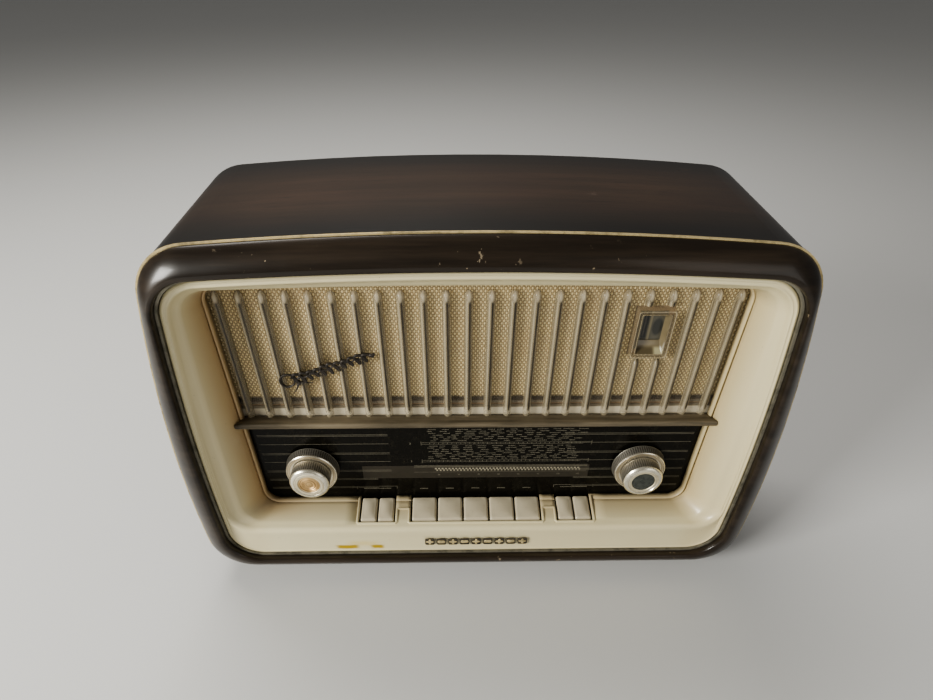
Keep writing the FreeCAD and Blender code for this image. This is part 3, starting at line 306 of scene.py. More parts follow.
class Patches:
    """Grids of points, each a surface of two parameters, that become one mesh."""

    def __init__(self):
        self.points = []
        self.faces = []
        self.uvs = []
        self.total = 0

    def grid(self, points, around=False, shell=False, keep=None, uv=None):
        """Adds a grid of rows by columns by 3.

        around joins the last column to the first. shell says that the grid closes on itself,
        so it is turned over if its faces point inwards. keep leaves out the faces where it is
        false. uv is rows by columns by 2.
        """
        rows, columns = points.shape[:2]
        numbers = np.arange(rows * columns).reshape(rows, columns)
        ahead = np.roll(numbers, -1, axis=1)
        corners = np.stack([numbers[:-1], ahead[:-1], ahead[1:], numbers[1:]], axis=-1)
        if not around:
            corners = corners[:, :-1]
        faces = corners[keep] if keep is not None else corners.reshape(-1, 4)
        flat = points.reshape(-1, 3)
        if shell and enclosed(flat, faces) < 0:
            faces = faces[:, ::-1]
        self.points.append(flat)
        self.faces.append(faces + self.total)
        self.uvs.append(np.zeros((len(flat), 2)) if uv is None else uv.reshape(-1, 2))
        self.total += len(flat)

    def piece(self, name, material, body, slot, replaces=(), sharp=32, solid=0.0):
        """Welds the grids into an object that rides on a body."""
        points = np.concatenate(self.points)
        faces = np.concatenate(self.faces)
        mesh = bpy.data.meshes.new(name)
        mesh.from_pydata(points.tolist(), [], faces.tolist())
        layer = mesh.uv_layers.new(name="Across")
        corner_points = np.zeros(len(mesh.loops), np.int32)
        mesh.loops.foreach_get("vertex_index", corner_points)
        layer.data.foreach_set("uv", np.concatenate(self.uvs)[corner_points].ravel())
        weld(mesh)
        mesh.shade_smooth()
        mesh.set_sharp_from_angle(angle=math.radians(sharp))
        return shown(name, mesh, material, body, replaces, solid)


def enclosed(points, faces):
    """Volume inside closed quads, negative if they point inwards."""
    a, b, c, d = (points[faces[:, k]] for k in range(4))
    triangles = np.einsum("ij,ij->i", a, np.cross(b, c)) + np.einsum("ij,ij->i", a, np.cross(c, d))
    return triangles.sum() / 6


def weld(mesh):
    """Merges points in one place, which closes seams and poles."""
    work = bmesh.new()
    work.from_mesh(mesh)
    bmesh.ops.remove_doubles(work, verts=work.verts, dist=1e-6)
    work.to_mesh(mesh)
    work.free()


def shown(name, mesh, material, body, replaces=(), solid=0.0):
    """Puts a finished mesh on its body, with a wall behind it if solid is its thickness."""
    piece = bpy.data.objects.new(name, mesh)
    bpy.context.scene.collection.objects.link(piece)
    mesh.materials.append(material)
    if solid:
        wall = piece.modifiers.new("Wall", "SOLIDIFY")
        wall.thickness = solid
        wall.offset = -1
    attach(piece, body)
    if replaces:
        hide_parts(*replaces)
    return piece


def along(first, second, shares):
    """Rows from one array of points to another, at the given shares of the way."""
    shares = np.asarray(shares, float).reshape(-1, *[1] * first.ndim)
    return first + (second - first) * shares


def arc_points(centre, radius, start, end, steps):
    """steps + 1 points (x, z) on an arc, angles in radians."""
    angles = np.linspace(start, end, steps + 1)
    return np.stack([centre[0] + radius * np.cos(angles), centre[1] + radius * np.sin(angles)], 1)


def crossing(first, first_radius, second, second_radius):
    """The upper right point where two circles cross."""
    between = second - first
    gap = np.linalg.norm(between)
    reach = (first_radius ** 2 - second_radius ** 2 + gap ** 2) / (2 * gap)
    aside = math.sqrt(first_radius ** 2 - reach ** 2)
    foot = first + between / gap * reach
    across = np.array([-between[1], between[0]]) / gap * aside
    return max(foot + across, foot - across, key=sum)


def bearing(vector):
    return math.atan2(vector[1], vector[0])


def bowed_outline(half, draw, top, crown, bottom, top_corner, bottom_corner, widest, stations):
    """Closed loop of (x, z): bowed sides, crowned top, flat bottom, four tangent corners.

    The right half runs from the middle of the bottom by the given stations to the corner, up
    the side and over to the middle of the top; the left half is its mirror image. Each arc
    has a fixed number of points, so loops of different outlines match point by point.
    """
    rise = top - widest
    bow = (rise ** 2 + draw ** 2) / (2 * draw)
    side = np.array([half - bow, widest])
    peak = np.array([0, top - crown])
    upper = crossing(side, bow - top_corner, peak, crown - top_corner)
    low_z = bottom + bottom_corner
    reach = bow - bottom_corner
    lower = np.array([side[0] + math.sqrt(reach ** 2 - (low_z - widest) ** 2), low_z])
    floor = np.concatenate([stations, np.linspace(stations[-1], lower[0], 9)[1:]])
    floor = np.stack([floor, np.full(len(floor), bottom)], 1)
    side_low = bearing(lower - side)
    side_high = bearing(upper - side)
    shoulder = bearing(upper - peak)
    right = np.concatenate([
        floor,
        arc_points(lower, bottom_corner, -math.pi / 2, side_low, 14)[1:],
        arc_points(side, bow, side_low, side_high, 26)[1:],
        arc_points(upper, top_corner, side_high, shoulder, 14)[1:],
        arc_points(peak, crown, shoulder, math.pi / 2, 26)[1:],
    ])
    left = right[-2:0:-1] * (-1, 1)
    return np.concatenate([right, left])


def outwards(loop):
    """Outward unit directions of a closed loop that runs anticlockwise."""
    ahead = np.roll(loop, -1, 0) - np.roll(loop, 1, 0)
    across = np.stack([ahead[:, 1], -ahead[:, 0]], 1)
    return across / np.linalg.norm(across, axis=1)[:, None]


def upright(loop, y):
    """Points (x, z) of a loop stood up at depth y, a number or one per point."""
    return np.stack([loop[:, 0], np.broadcast_to(y, len(loop)), loop[:, 1]], 1)


def rounded_rectangle(half_x, half_z, corner, steps=5):
    """Loop of (x, z) round the origin: a rectangle with round corners, anticlockwise."""
    turns = np.concatenate([np.linspace(k, k + 1, steps + 1) for k in range(4)]) * math.pi / 2
    corner_x = np.repeat([1, -1, -1, 1], steps + 1) * (half_x - corner)
    corner_z = np.repeat([1, 1, -1, -1], steps + 1) * (half_z - corner)
    return np.stack([corner_x + corner * np.cos(turns), corner_z + corner * np.sin(turns)], 1)


def block(patches, low, high, round_by):
    """A box between two corners whose edges along Y are rounded, closed at both ends."""
    middle = (low + high) / 2
    half = (high - low) / 2
    loop = rounded_rectangle(half[0], half[2], round_by, 2)
    rows = [loop * 0, loop * 0.98, loop, loop, loop * 0.98, loop * 0]
    depths = [-1, -1, -0.97, 0.97, 1, 1]
    grid = np.stack([upright(row, depth * half[1]) for row, depth in zip(rows, depths)])
    patches.grid(grid + middle, around=True, shell=True)


def turned(patches, profile, at, steps=72):
    """Surface of revolution about the Y direction through the point at.

    profile is rows of (radius, y), and the surface is (radius cos a, y, radius sin a).
    """
    profile = np.array(profile, float)
    angle = np.linspace(0, 2 * math.pi, steps, endpoint=False)[None, :]
    radius = np.repeat(profile[:, :1], steps, axis=1)
    y = np.repeat(profile[:, 1:], steps, axis=1)
    grid = np.stack([radius * np.cos(angle), y, radius * np.sin(angle)], -1)
    patches.grid(grid + np.array(at), around=True, shell=True)


def tube(patches, path, radius, steps=10):
    """Round bar along a path of points: rings across the path, closed at both ends.

    radius is a number or one per point.
    """
    ahead = np.gradient(path, axis=0)
    ahead /= np.linalg.norm(ahead, axis=1)[:, None]
    side = np.cross(ahead, np.array([0.0, 1.0, 0.0]))
    side /= np.linalg.norm(side, axis=1)[:, None]
    over = np.cross(side, ahead)
    angle = np.linspace(0, 2 * math.pi, steps, endpoint=False)
    radius = np.broadcast_to(radius, len(path)).astype(float)
    radius = np.concatenate([[0], radius, [0]])[:, None, None]
    ends = [0, *range(len(path)), -1]
    ring = (np.cos(angle)[None, :, None] * side[ends][:, None]
            + np.sin(angle)[None, :, None] * over[ends][:, None])
    patches.grid(path[ends][:, None] + ring * radius, around=True, shell=True)


# ---- finishes -------------------------------------------------------------------------------

def sizes(name):
    """The property group of one part of the radio."""
    return getattr(bpy.context.scene, name)


def veneer(name, brown, burst, rough):
    """Lacquered veneer: grain along X on top and up the sides, dark bursts at both edges."""
    t = Finish(name)
    depth = (t.y - WRAP_LOW[1]) / (WRAP_HIGH[1] - WRAP_LOW[1])
    side = (WRAP_HIGH[2] - t.z - WRAP_HIGH[0] + abs(t.x)).rise(-6 * MM, 6 * MM)
    top_grain = t.noise(1, 6, 0.62, (5, 95, 95))
    side_grain = t.noise(1, 6, 0.62, (95, 95, 5))
    grain = top_grain * (1 - side) + side_grain * side
    pores = t.noise(1, 2, 0.5, (30, 700, 700)) * (1 - side) + t.noise(1, 2, 0.5, (700, 700, 30)) * side
    cloud = t.noise(5, 2)
    edge = (depth + (cloud - 0.5) * 0.22).within(0.24, 0.80, 0.20)
    ends = 1 - abs(t.x).rise(0.13, 0.25) * 0.55 * (1 - side)
    open_wood = edge * ends * (0.45 + cloud * 0.9)
    wood = t.mix(grain.rise(0.30, 0.72) * 0.75, tuple(c * 0.62 for c in brown), brown)
    shade = t.mix(open_wood.least(1), burst, wood)
    worn = t.noise(38, 5, 0.7).rise(0.66, 0.74) * t.noise(7, 2).rise(0.45, 0.6)
    shade = t.mix(worn * 0.35, shade, (0.11, 0.07, 0.05))
    shade = t.mix(pores.rise(0.58, 0.75) * 0.5, shade, tuple(c * 0.5 for c in burst))
    uneven = rough + cloud * 0.12 + worn * 0.2
    return t.done(Base_Color=shade, Roughness=uneven, Coat_Weight=0.22,
                  Coat_Roughness=0.20, Specular_IOR_Level=0.35,
                  Normal=t.bump(pores * 0.4 + grain * 0.6, 0.12 * MM, 0.5))


def nose_lacquer(name, dark):
    """Almost black gloss lacquer over wood, with pale nicks where it was knocked."""
    t = Finish(name)
    grain = t.noise(1, 5, 0.6, (6, 110, 110))
    nicks = t.noise(150, 3, 0.6).rise(0.665, 0.70) * t.noise(11, 1).rise(0.50, 0.58)
    low = 1 - t.z.rise(0.012, 0.034)
    shade = t.mix(grain.rise(0.3, 0.75), dark, tuple(c * 2.6 for c in dark))
    shade = t.mix(low * 0.5, shade, (0.050, 0.034, 0.022))
    shade = t.mix(nicks * 0.8, shade, (0.24, 0.19, 0.125))
    dust = t.noise(26, 4, 0.7)
    return t.done(Base_Color=shade, Roughness=0.24 + dust * 0.16 + nicks * 0.3,
                  Coat_Weight=0.22, Coat_Roughness=0.14, Specular_IOR_Level=0.28,
                  Normal=t.bump(grain * 0.3 - nicks, 0.2 * MM, 0.4))


def thin_metal(name, bright, rough=0.34):
    """Worn strip of metal: duller and darker where it has tarnished."""
    t = Finish(name)
    tarnish = t.noise(70, 4, 0.7)
    fine = t.noise(900, 2)
    shade = t.mix(tarnish.rise(0.42, 0.75), bright, tuple(c * 0.38 for c in bright))
    return t.done(Base_Color=shade, Metallic=0.6, Roughness=rough + tarnish * 0.25 + fine * 0.06,
                  Normal=t.bump(fine, 0.02 * MM))


def ivory(name, pale, yellow):
    """Aged glossy ivory: yellowed edges, faint cloudiness, painted shade deeper into the recess, on the
    shelf and on the left wall, and two yellow stains with a faint halo on the lower rail."""
    t = Finish(name)
    cloud = t.noise(6, 3)
    specks = t.noise(420, 2).rise(0.74, 0.78) * t.noise(30, 2).rise(0.5, 0.6)
    rim = MASK_HIGH[0] - 30 * MM
    sides = abs(t.x).rise(rim - 16 * MM, rim + 4 * MM)
    depth = (t.y - MASK_LOW[1]).rise(4 * MM, 34 * MM)
    shade = t.mix(cloud * 0.35 + sides * 0.10, pale, yellow)
    # painted shade: darker and yellower deeper into the recess
    shade = t.mix(depth * 0.46, shade, tuple(c * 0.80 for c in yellow))
    # painted shade: the left wall, turned away from the key light, is painted darker tan
    left = 1 - t.x.rise(-215 * MM, -150 * MM)
    shade = t.mix(left * depth * 0.60, shade, (0.43, 0.265, 0.125))
    # painted shade: the shelf under the dial is painted darker and greyer
    floor = t.z.within(64 * MM, 77 * MM, 2 * MM)
    shade = t.mix(depth * floor * 0.30, shade, (0.30, 0.24, 0.17))
    wander = (t.noise(70, 3) - 0.5) * 9 * MM
    lower = (t.z + wander * 0.35).within(36.2 * MM, 41.0 * MM, 1.2 * MM)
    smear = (t.x + wander).within(-139 * MM, -119 * MM, 3 * MM)
    drop = (t.x + wander).within(-104 * MM, -93 * MM, 2.5 * MM)
    halo = ((t.x + wander).within(-126 * MM, -97 * MM, 6 * MM)
            * (t.z + wander * 0.5).within(40 * MM, 47 * MM, 3 * MM))
    spot = lower * (smear + drop) * (0.75 + cloud * 0.7)
    shade = t.mix(halo * 0.35, shade, (0.60, 0.44, 0.09))
    shade = t.mix(spot.least(1), shade, (0.40, 0.265, 0.010))
    shade = t.mix(specks * 0.7, shade, (0.12, 0.09, 0.06))
    return t.done(Base_Color=shade, Roughness=0.30 + cloud * 0.14, Coat_Weight=0.25,
                  Coat_Roughness=0.16, Specular_IOR_Level=0.5,
                  Normal=t.bump(t.noise(55, 3), 0.10 * MM, 0.35))


def across_map(t):
    """First direction of the Across map."""
    return Wire(t, t.node("ShaderNodeSeparateXYZ", {}, {"Vector": t.node(
        "ShaderNodeUVMap", {"uv_map": "Across"}, {})}, None).outputs["X"])


def clear_plastic(name, clear, tint):
    """Clear plastic as a thin tinted film, hazy and finely scratched."""
    t = Finish(name)
    haze = t.noise(60, 3)
    alpha = (clear + (haze - 0.5) * 0.12).least(1)
    return t.done(Base_Color=t.mix(haze * 0.3, tint, tuple(c * 0.6 for c in tint)), Alpha=alpha,
                  Roughness=0.14 + haze * 0.10, Specular_IOR_Level=0.35,
                  Normal=t.bump(t.noise(90, 2), 0.08 * MM, 0.3))


def rib_plastic(name, top, pale, dark):
    """Clear half-round rib with painted light: a painted dark line down its ridge, where it would bend the
    light, and a painted highlight line and a thinner painted dark line beside it. Its flanks are pale and
    half see-through and darker along both long edges, a painted highlight sits on its rounded end, and its
    foot is clearer over the pale strip."""
    t = Finish(name)
    across = across_map(t)
    haze = t.noise(60, 3)
    streak = t.noise(1, 4, 0.6, (500, 500, 14))
    end = t.z.rise(top - 9.5 * MM, top - 5 * MM)
    over_strip = 1 - t.z.rise(SELVEDGE, SELVEDGE + 3 * MM)
    # painted dark line down the ridge, where the rib would bend the light
    ridge = across.within(0.34, 0.51, 0.05) * (1 - end) * (1 - over_strip * 0.75)
    # thinner painted dark line beside the ridge
    edge = across.within(0.78, 0.87, 0.03) * (1 - end) * (1 - over_strip * 0.5)
    # painted highlight line
    light = across.within(0.60, 0.68, 0.03) * (1 - end)
    foot = abs(across - 0.5).rise(0.42, 0.49)
    shade = t.mix(streak.rise(0.35, 0.7) * 0.45, pale, tuple(c * 0.62 for c in pale))
    shade = t.mix(ridge * (0.80 + haze * 0.3), shade, dark)
    shade = t.mix(edge * 0.6, shade, dark)
    shade = t.mix(light * 0.45, shade, (0.72, 0.65, 0.48))
    shade = t.mix(foot * 0.6, shade, (0.10, 0.08, 0.055))
    # painted highlight on the rounded end
    glint = abs(across - 0.44).rise(0.20, 0.06) * (0.35 + haze * 0.8)
    shade = t.mix(end * glint, shade, (0.78, 0.70, 0.54))
    shade = t.mix(over_strip * 0.4, shade, (0.60, 0.53, 0.38))
    alpha = 0.52 + ridge * 0.38 + edge * 0.2 + foot * 0.3 - over_strip * 0.22 + (haze - 0.5) * 0.15
    alpha = alpha.least(1)
    return t.done(Base_Color=shade, Alpha=alpha, Roughness=0.16 + haze * 0.10,
                  Specular_IOR_Level=0.5, Normal=t.bump(t.noise(90, 2), 0.08 * MM, 0.3))


def basket_weave(name, thread, straw, umber, hem_top):
    """Two crossing threads: cells of a checkerboard take turns to lie on top, each cell
    rounded like the thread that shows, with painted shade between the threads, a painted highlight on the
    warp crests, and a plain hem band along the lower edge whose upper part is a painted dark shadow."""
    t = Finish(name)
    wobble = t.noise(60, 2) - 0.5
    across = (t.x + wobble * 0.4 * MM) / thread
    up = (t.z + wobble * 0.4 * MM) / (thread * 1.36)
    warp_on_top = (across.floor() + up.floor()) % 2
    round_x = abs((across * math.pi).sine())
    round_z = abs((up * math.pi).sine())
    warp = round_x ** 0.6 * (0.45 + 0.55 * round_z)
    weft = round_z ** 0.6 * (0.45 + 0.55 * round_x)
    height = warp * warp_on_top + weft * (1 - warp_on_top) * 0.8
    slub = t.noise(1, 4, 0.6, (240, 240, 60))
    patch = t.noise(22, 3)
    shade = t.mix(warp_on_top * (0.65 + slub * 0.7), umber, straw)
    # painted shade in the hollows between the threads
    shade = t.mix((1 - height.rise(0.10, 0.72)) * 0.82, shade, (0.075, 0.044, 0.018))
    # painted highlight on the crests of the warp threads
    shade = t.mix(height.rise(0.70, 1.0) * warp_on_top * slub.rise(0.36, 0.60) * 0.9, shade,
                  (1.0, 0.86, 0.55))
    shade = t.mix(patch.rise(0.45, 0.7) * 0.20, shade, (0.34, 0.21, 0.09))
    middle = hem_top - 5.6 * MM
    grey = t.mix(t.noise(1, 3, 0.5, (40, 400, 400)), (0.17, 0.135, 0.085), (0.30, 0.25, 0.17))
    ragged = (t.noise(1, 3, 0.6, (90, 90, 90)) - 0.5) * 3 * MM
    # painted shadow: the upper part of the hem band is dark, the lower part grey
    hem = t.mix((t.z + ragged).rise(middle - 0.8 * MM, middle + 1.2 * MM), grey, (0.050, 0.033, 0.017))
    shade = t.mix((t.z + ragged).rise(hem_top - 1.6 * MM, hem_top + 1.4 * MM), hem, shade)
    return t.done(Base_Color=shade, Roughness=0.55 + (1 - height) * 0.35, Sheen_Weight=0.25,
                  Sheen_Roughness=0.4, Normal=t.bump(height, 0.55 * MM, 0.9))


def moulded(name, first, second, rough=0.4, coat=0.2, scale=40):
    """Moulded plastic, rubber or paint: two close shades in soft patches and a fine skin."""
    t = Finish(name)
    patch = t.noise(scale, 4, 0.6)
    skin = t.noise(1300, 2)
    return t.done(Base_Color=t.mix(patch.rise(0.3, 0.7), first, second),
                  Roughness=rough + (patch - 0.5) * 0.25, Coat_Weight=coat,
                  Normal=t.bump(skin + patch, 0.03 * MM, 0.5))


def bar_plastic(name):
    """Dark brown bar with rougher streaks, rubbed paler in patches."""
    t = Finish(name)
    streak = t.noise(1, 5, 0.65, (14, 300, 300))
    smear = t.noise(14, 3)
    shade = t.mix(streak.rise(0.3, 0.75), (0.062, 0.050, 0.032), (0.165, 0.135, 0.090))
    shade = t.mix(smear.rise(0.45, 0.7) * 0.5, shade, (0.235, 0.195, 0.130))
    return t.done(Base_Color=shade, Roughness=0.36 + streak * 0.2, Specular_IOR_Level=0.3,
                  Normal=t.bump(streak, 0.05 * MM, 0.6))


def black_glass(name):
    """Glass painted black on its back: a deep gloss with a little dust."""
    t = Finish(name)
    dust = t.noise(160, 5, 0.75)
    shade = t.mix(dust.rise(0.5, 0.85) * 0.5, (0.0060, 0.0052, 0.0036), (0.035, 0.030, 0.020))
    return t.done(Base_Color=shade, Roughness=0.16 + dust * 0.16, Specular_IOR_Level=0.16,
                  Normal=t.bump(t.noise(12, 2), 0.05 * MM, 0.2))


def printed(name, shade, wear=0.5):
    """Screen ink on the glass, thin in places."""
    t = Finish(name)
    rubbed = t.noise(210, 4, 0.7)
    ink = t.mix(rubbed.rise(0.35, 0.8) * wear, shade, tuple(c * 0.35 for c in shade))
    return t.done(Base_Color=ink, Roughness=0.35 + rubbed * 0.2, Specular_IOR_Level=0.4)


def turned_metal(name, bright, dull, rough=0.20, rings=0.0, centre=(0, 0)):
    """Bright metal with patches of grime; rings adds fine turning marks round a centre."""
    t = Finish(name)
    grime = t.noise(70, 3, 0.6)
    height = t.noise(700, 2) * 0.15
    shade = t.mix(grime.rise(0.50, 0.80) * 0.6, bright, dull)
    if rings:
        across = t.x - centre[0]
        up = t.z - centre[1]
        away = (across * across + up * up) ** 0.5
        groove = (away * (2 * math.pi / rings)).sine()
        height = height + groove
        coarse = (away * (2 * math.pi / (rings * 4.6)) + 1.3).sine()
        shade = t.mix(coarse.rise(0.35, 0.95) * 0.55, shade, dull)
    return t.done(Base_Color=shade, Metallic=0.92 - grime * 0.12, Roughness=rough + grime * 0.14,
                  Normal=t.bump(height, 0.03 * MM, 0.5))


def knurled_metal(name, bright):
    """Knurled side of a knob: bright crests, dirt in the grooves, told apart by the map."""
    t = Finish(name)
    crest = across_map(t)
    grime = t.noise(160, 4, 0.7)
    shade = t.mix(crest.rise(0.15, 0.75) * (0.8 + grime * 0.3), (0.06, 0.052, 0.042), bright)
    return t.done(Base_Color=shade, Metallic=0.55 + crest * 0.35, Roughness=0.50 - crest * 0.22,
                  Normal=t.bump(grime, 0.05 * MM, 0.4))


def pressed_board(name):
    """Back board of pressed fibre: brown flecks and a hard skin."""
    t = Finish(name)
    fibre = t.noise(1, 5, 0.7, (220, 220, 600))
    cloud = t.noise(7, 3)
    shade = t.mix(fibre.rise(0.35, 0.7), (0.13, 0.075, 0.038), (0.235, 0.145, 0.075))
    shade = t.mix(cloud * 0.4, shade, (0.10, 0.06, 0.032))
    return t.done(Base_Color=shade, Roughness=0.62 + fibre * 0.2,
                  Normal=t.bump(fibre, 0.15 * MM, 0.5))


def key_finish(name, cap):
    """Aged key plastic: faint cloudiness and a little dirt."""
    t = Finish(name)
    cloud = t.noise(45, 4, 0.6)
    dirt = t.noise(190, 4, 0.7).rise(0.55, 0.8)
    shade = t.mix(cloud * 0.6, cap, tuple(c * k for c, k in zip(cap, (1.12, 1.08, 1.0))))
    shade = t.mix(dirt * 0.28, shade, (0.20, 0.15, 0.105))
    return t.done(Base_Color=shade, Roughness=0.30 + cloud * 0.16, Coat_Weight=0.25,
                  Coat_Roughness=0.15, Normal=t.bump(t.noise(130, 3), 0.06 * MM, 0.3))


def bare_wood(name):
    """Plain plywood of the board behind the front."""
    t = Finish(name)
    grain = t.noise(1, 5, 0.6, (8, 120, 90))
    shade = t.mix(grain, (0.27, 0.17, 0.09), (0.42, 0.30, 0.17))
    return t.done(Base_Color=shade, Roughness=0.7, Normal=t.bump(grain, 0.1 * MM, 0.5))


def valve_glass(name):
    """Thin glass with a dark, silvered top where the getter was fired."""
    t = Finish(name)
    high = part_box("valves")[1]
    silver = t.z.rise(high.z - 22 * MM, high.z - 10 * MM)
    haze = t.noise(60, 3)
    shade = t.mix(silver, (0.32, 0.31, 0.27), (0.16, 0.16, 0.17))
    return t.done(Base_Color=shade, Metallic=silver * 0.8, Roughness=0.06 + haze * 0.06,
                  Alpha=0.45 + silver * 0.5, IOR=1.5)


# ---- front frame ------------------------------------------------------------------------------

def make_nose():
    """Rounded front frame between the gold line and the line round the mask.

    Across its width the section is a superellipse, share = 1 - (1 - h^p)^(1/p) for height h,
    then flat, then a quarter round that turns back into the opening.
    """
    c = sizes("radio_cabinet")
    m = sizes("radio_mask")
    stations = np.linspace(0, 130 * MM, 14)
    low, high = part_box("front_frame")
    show = 0.45 * MM  # width of the gold line that shows outside the frame
    outer = bowed_outline(high.x - show, c.draw, high.z - show, c.crown, low.z + show,
                          c.top_corner - show, c.bottom_corner - show, m.widest, stations)
    gap = 2.4 * MM  # for the thin line round the mask
    inner = bowed_outline(MASK_HIGH[0] + gap, m.rim_draw + 0.3 * MM, MASK_HIGH[2] + gap,
                          m.rim_crown + gap, MASK_LOW[2] - gap, m.rim_top_corner + gap,
                          m.rim_bottom_corner + gap, m.widest, stations)
    front = low.y
    start = GOLD_LOW[1]
    rise = start - front
    height = np.sin(np.linspace(0, math.pi / 2, 15))
    share = 0.80 * (1 - (1 - height ** c.pillow) ** (1 / c.pillow))
    rows = [upright(outer, GOLD_HIGH[1]), upright(outer, start)]
    for h, part in zip(height[1:], share[1:]):
        rows.append(upright(along(outer, inner, [part])[0], start - rise * h))
    for turn in np.linspace(0, math.pi / 2, 7)[1:]:
        part = 0.86 + 0.14 * math.sin(turn)
        rows.append(upright(along(outer, inner, [part])[0],
                            front + 3 * MM * (1 - math.cos(turn))))
    rows.append(upright(inner, MASK_LOW[1] + 8 * MM))
    patches = Patches()
    patches.grid(np.stack(rows), around=True)
    patches.piece("front_frame_nose", nose_lacquer("frame_lacquer", tuple(c.nose)), "cabinet",
                  "dark_walnut", ["front_frame"], sharp=50, solid=1.5 * MM)


# ---- mask -------------------------------------------------------------------------------------

WELLS = [edges_of(name)[0][0] for name in ("narrow_key_1", "wide_key_1", "narrow_key_3")]
WELL_ENDS = [edges_of(name)[1][0] for name in ("narrow_key_2", "wide_key_5", "narrow_key_4")]
KEY_FRONT = edges_of("wide_key_3")[0][1]


def well_edges():
    """Left and right edge of each key well on the right half, from the middle outwards."""
    margin = sizes("radio_keys").margin
    return WELL_ENDS[1] + margin, WELLS[2] - margin, WELL_ENDS[2] + margin


def mask_outlines():
    """The rim, the edge where the walls begin and the opening, as matching loops."""
    s = sizes("radio_mask")
    wide, inner, outer = well_edges()
    stations = np.concatenate([np.linspace(0, wide, 12), np.linspace(wide, inner, 5)[1:],
                               np.linspace(inner, outer, 7)[1:], [outer + 15 * MM]])
    half = MASK_HIGH[0]
    top = MASK_HIGH[2]
    bottom = MASK_LOW[2]
    rim = bowed_outline(half, s.rim_draw, top, s.rim_crown, bottom, s.rim_top_corner,
                        s.rim_bottom_corner, s.widest, stations)
    wall = bowed_outline(half - s.lip - 0.5 * MM, s.rim_draw, top - s.top_rail,
                         s.rim_crown - s.top_rail, s.shelf, s.wall_top_corner,
                         s.wall_bottom_corner, s.widest, stations)
    opening = bowed_outline(half - s.inset, 0.01 * MM, top - s.top_drop, 100.0, s.sill, s.corner,
                            s.corner, s.widest, stations)
    return rim, wall, opening


def mask_rows():
    """Rows of the mask from the back of its rim to the seat of grille and dial.

    The rim is a quarter round and a shallow bead. The rail is straight. The walls begin with
    a Bezier roll, run to a soft crease, then steeper to a hollow and a raised bead round the
    opening. Every row has one depth along the shelf, so that the wells end on a row.
    """
    s = sizes("radio_mask")
    rim, wall, opening = mask_outlines()
    front = MASK_LOW[1]
    out = outwards(rim)
    bead = 2.2 * MM
    rows = [upright(rim, front + 13 * MM)]
    for turn in np.linspace(0, math.pi / 2, 6):
        rows.append(upright(rim - out * bead * (1 - math.cos(turn)),
                            front + bead * (1 - math.sin(turn))))
    inner = rim - out * (s.lip - 0.4 * MM)
    edge = rim - out * bead
    for share in (0.3, 0.6, 1.0):
        rows.append(upright(along(edge, inner, [share])[0],
                            front + 0.9 * MM * math.sin(share * math.pi / 2)))
    level = front + 0.9 * MM
    width = np.linalg.norm(wall - inner, axis=1)
    roll = np.minimum(5 * MM, width * 0.6)[:, None]
    away = (inner - wall) / np.maximum(width, 1e-6)[:, None]
    before = wall + away * roll
    for share in (0.12, 0.3, 0.5, 0.7, 0.88):
        hollow = 0.028 * width * math.sin(math.pi * share)
        rows.append(upright(along(inner, before, [share])[0], level + hollow))
    start = upright(before, level)
    control = upright(wall, level)
    wall_start = along(wall, opening, [0.115])[0]
    end = upright(wall_start, front + 5.5 * MM)
    for t in np.linspace(0, 1, 7):
        rows.append(start * (1 - t) ** 2 + control * 2 * t * (1 - t) + end * t * t)
    depths = [KEY_FRONT - sizes("radio_keys").margin - front, 9.6 * MM, 11.4 * MM, 14 * MM,
              18 * MM, 23 * MM, 28 * MM, 32 * MM]
    shares = [0.27, 0.375, 0.43, 0.50, 0.60, 0.71, 0.81, 0.875]
    for depth, share in zip(depths, shares):
        rows.append(upright(along(wall, opening, [share])[0], front + depth))
    back = front + s.splay
    out = outwards(opening)
    for gap, lift in ((3.6, 1.0), (2.9, 1.4), (2.3, 2.6), (1.6, 3.4), (0.9, 3.4), (0.3, 2.7),
                      (0.0, 1.6), (0.0, -3.0)):
        rows.append(upright(opening + out * gap * MM, back - lift * MM))
    return np.stack(rows)


def mask_surface(rows):
    """True for each face of the mask that isn't over a key well."""
    wide, inner, outer = well_edges()
    middle = (rows[:-1] + rows[1:]) / 2
    middle = (middle + np.roll(middle, -1, axis=1)) / 2
    x = np.abs(middle[..., 0])
    low = middle[..., 2] < sizes("radio_mask").sill + 6 * MM
    behind = middle[..., 1] > KEY_FRONT - sizes("radio_keys").margin + 0.1 * MM
    over = (x < wide) | ((x > inner) & (x < outer))
    return ~(over & low & behind)


def shelf_height(rows, y):
    """Height of the shelf at depth y, from the column in the middle of the bottom."""
    column = rows[10:, 0]
    return np.interp(y, column[:, 1], column[:, 2])


def well_border(patches, rows):
    """Raised bead round the key wells: out of the sill, along the front of each well, and
    stepped back between the groups."""
    k = sizes("radio_keys")
    wide, inner, outer = well_edges()
    sill = BAR_HIGH[1] - 3.2 * MM
    front = KEY_FRONT - k.margin - k.border * 0.9
    step = (front + sill) / 2 + 1.5 * MM
    turns = [(outer + k.border, sill), (outer + k.border, front), (inner - k.border, front),
             (inner - k.border, step), (wide + k.border, step), (wide + k.border, front)]
    turns = turns + [(-x, y) for x, y in reversed(turns)]
    path = densely(np.array(turns), 0.9 * MM)
    height = shelf_height(rows, path[:, 1])
    points = np.stack([path[:, 0], path[:, 1], height + 0.1 * MM], 1)
    flat_tube(patches, points, k.border)


def densely(corners, near):
    """Points along straight runs, with two extra points close to each corner."""
    shares = []
    for first, second in zip(corners[:-1], corners[1:]):
        run = np.linalg.norm(second - first)
        steps = np.array([near / run, 0.5, 1 - near / run])
        shares.append(along(first, second, steps))
    return np.concatenate([corners[:1], *shares, corners[-1:]])


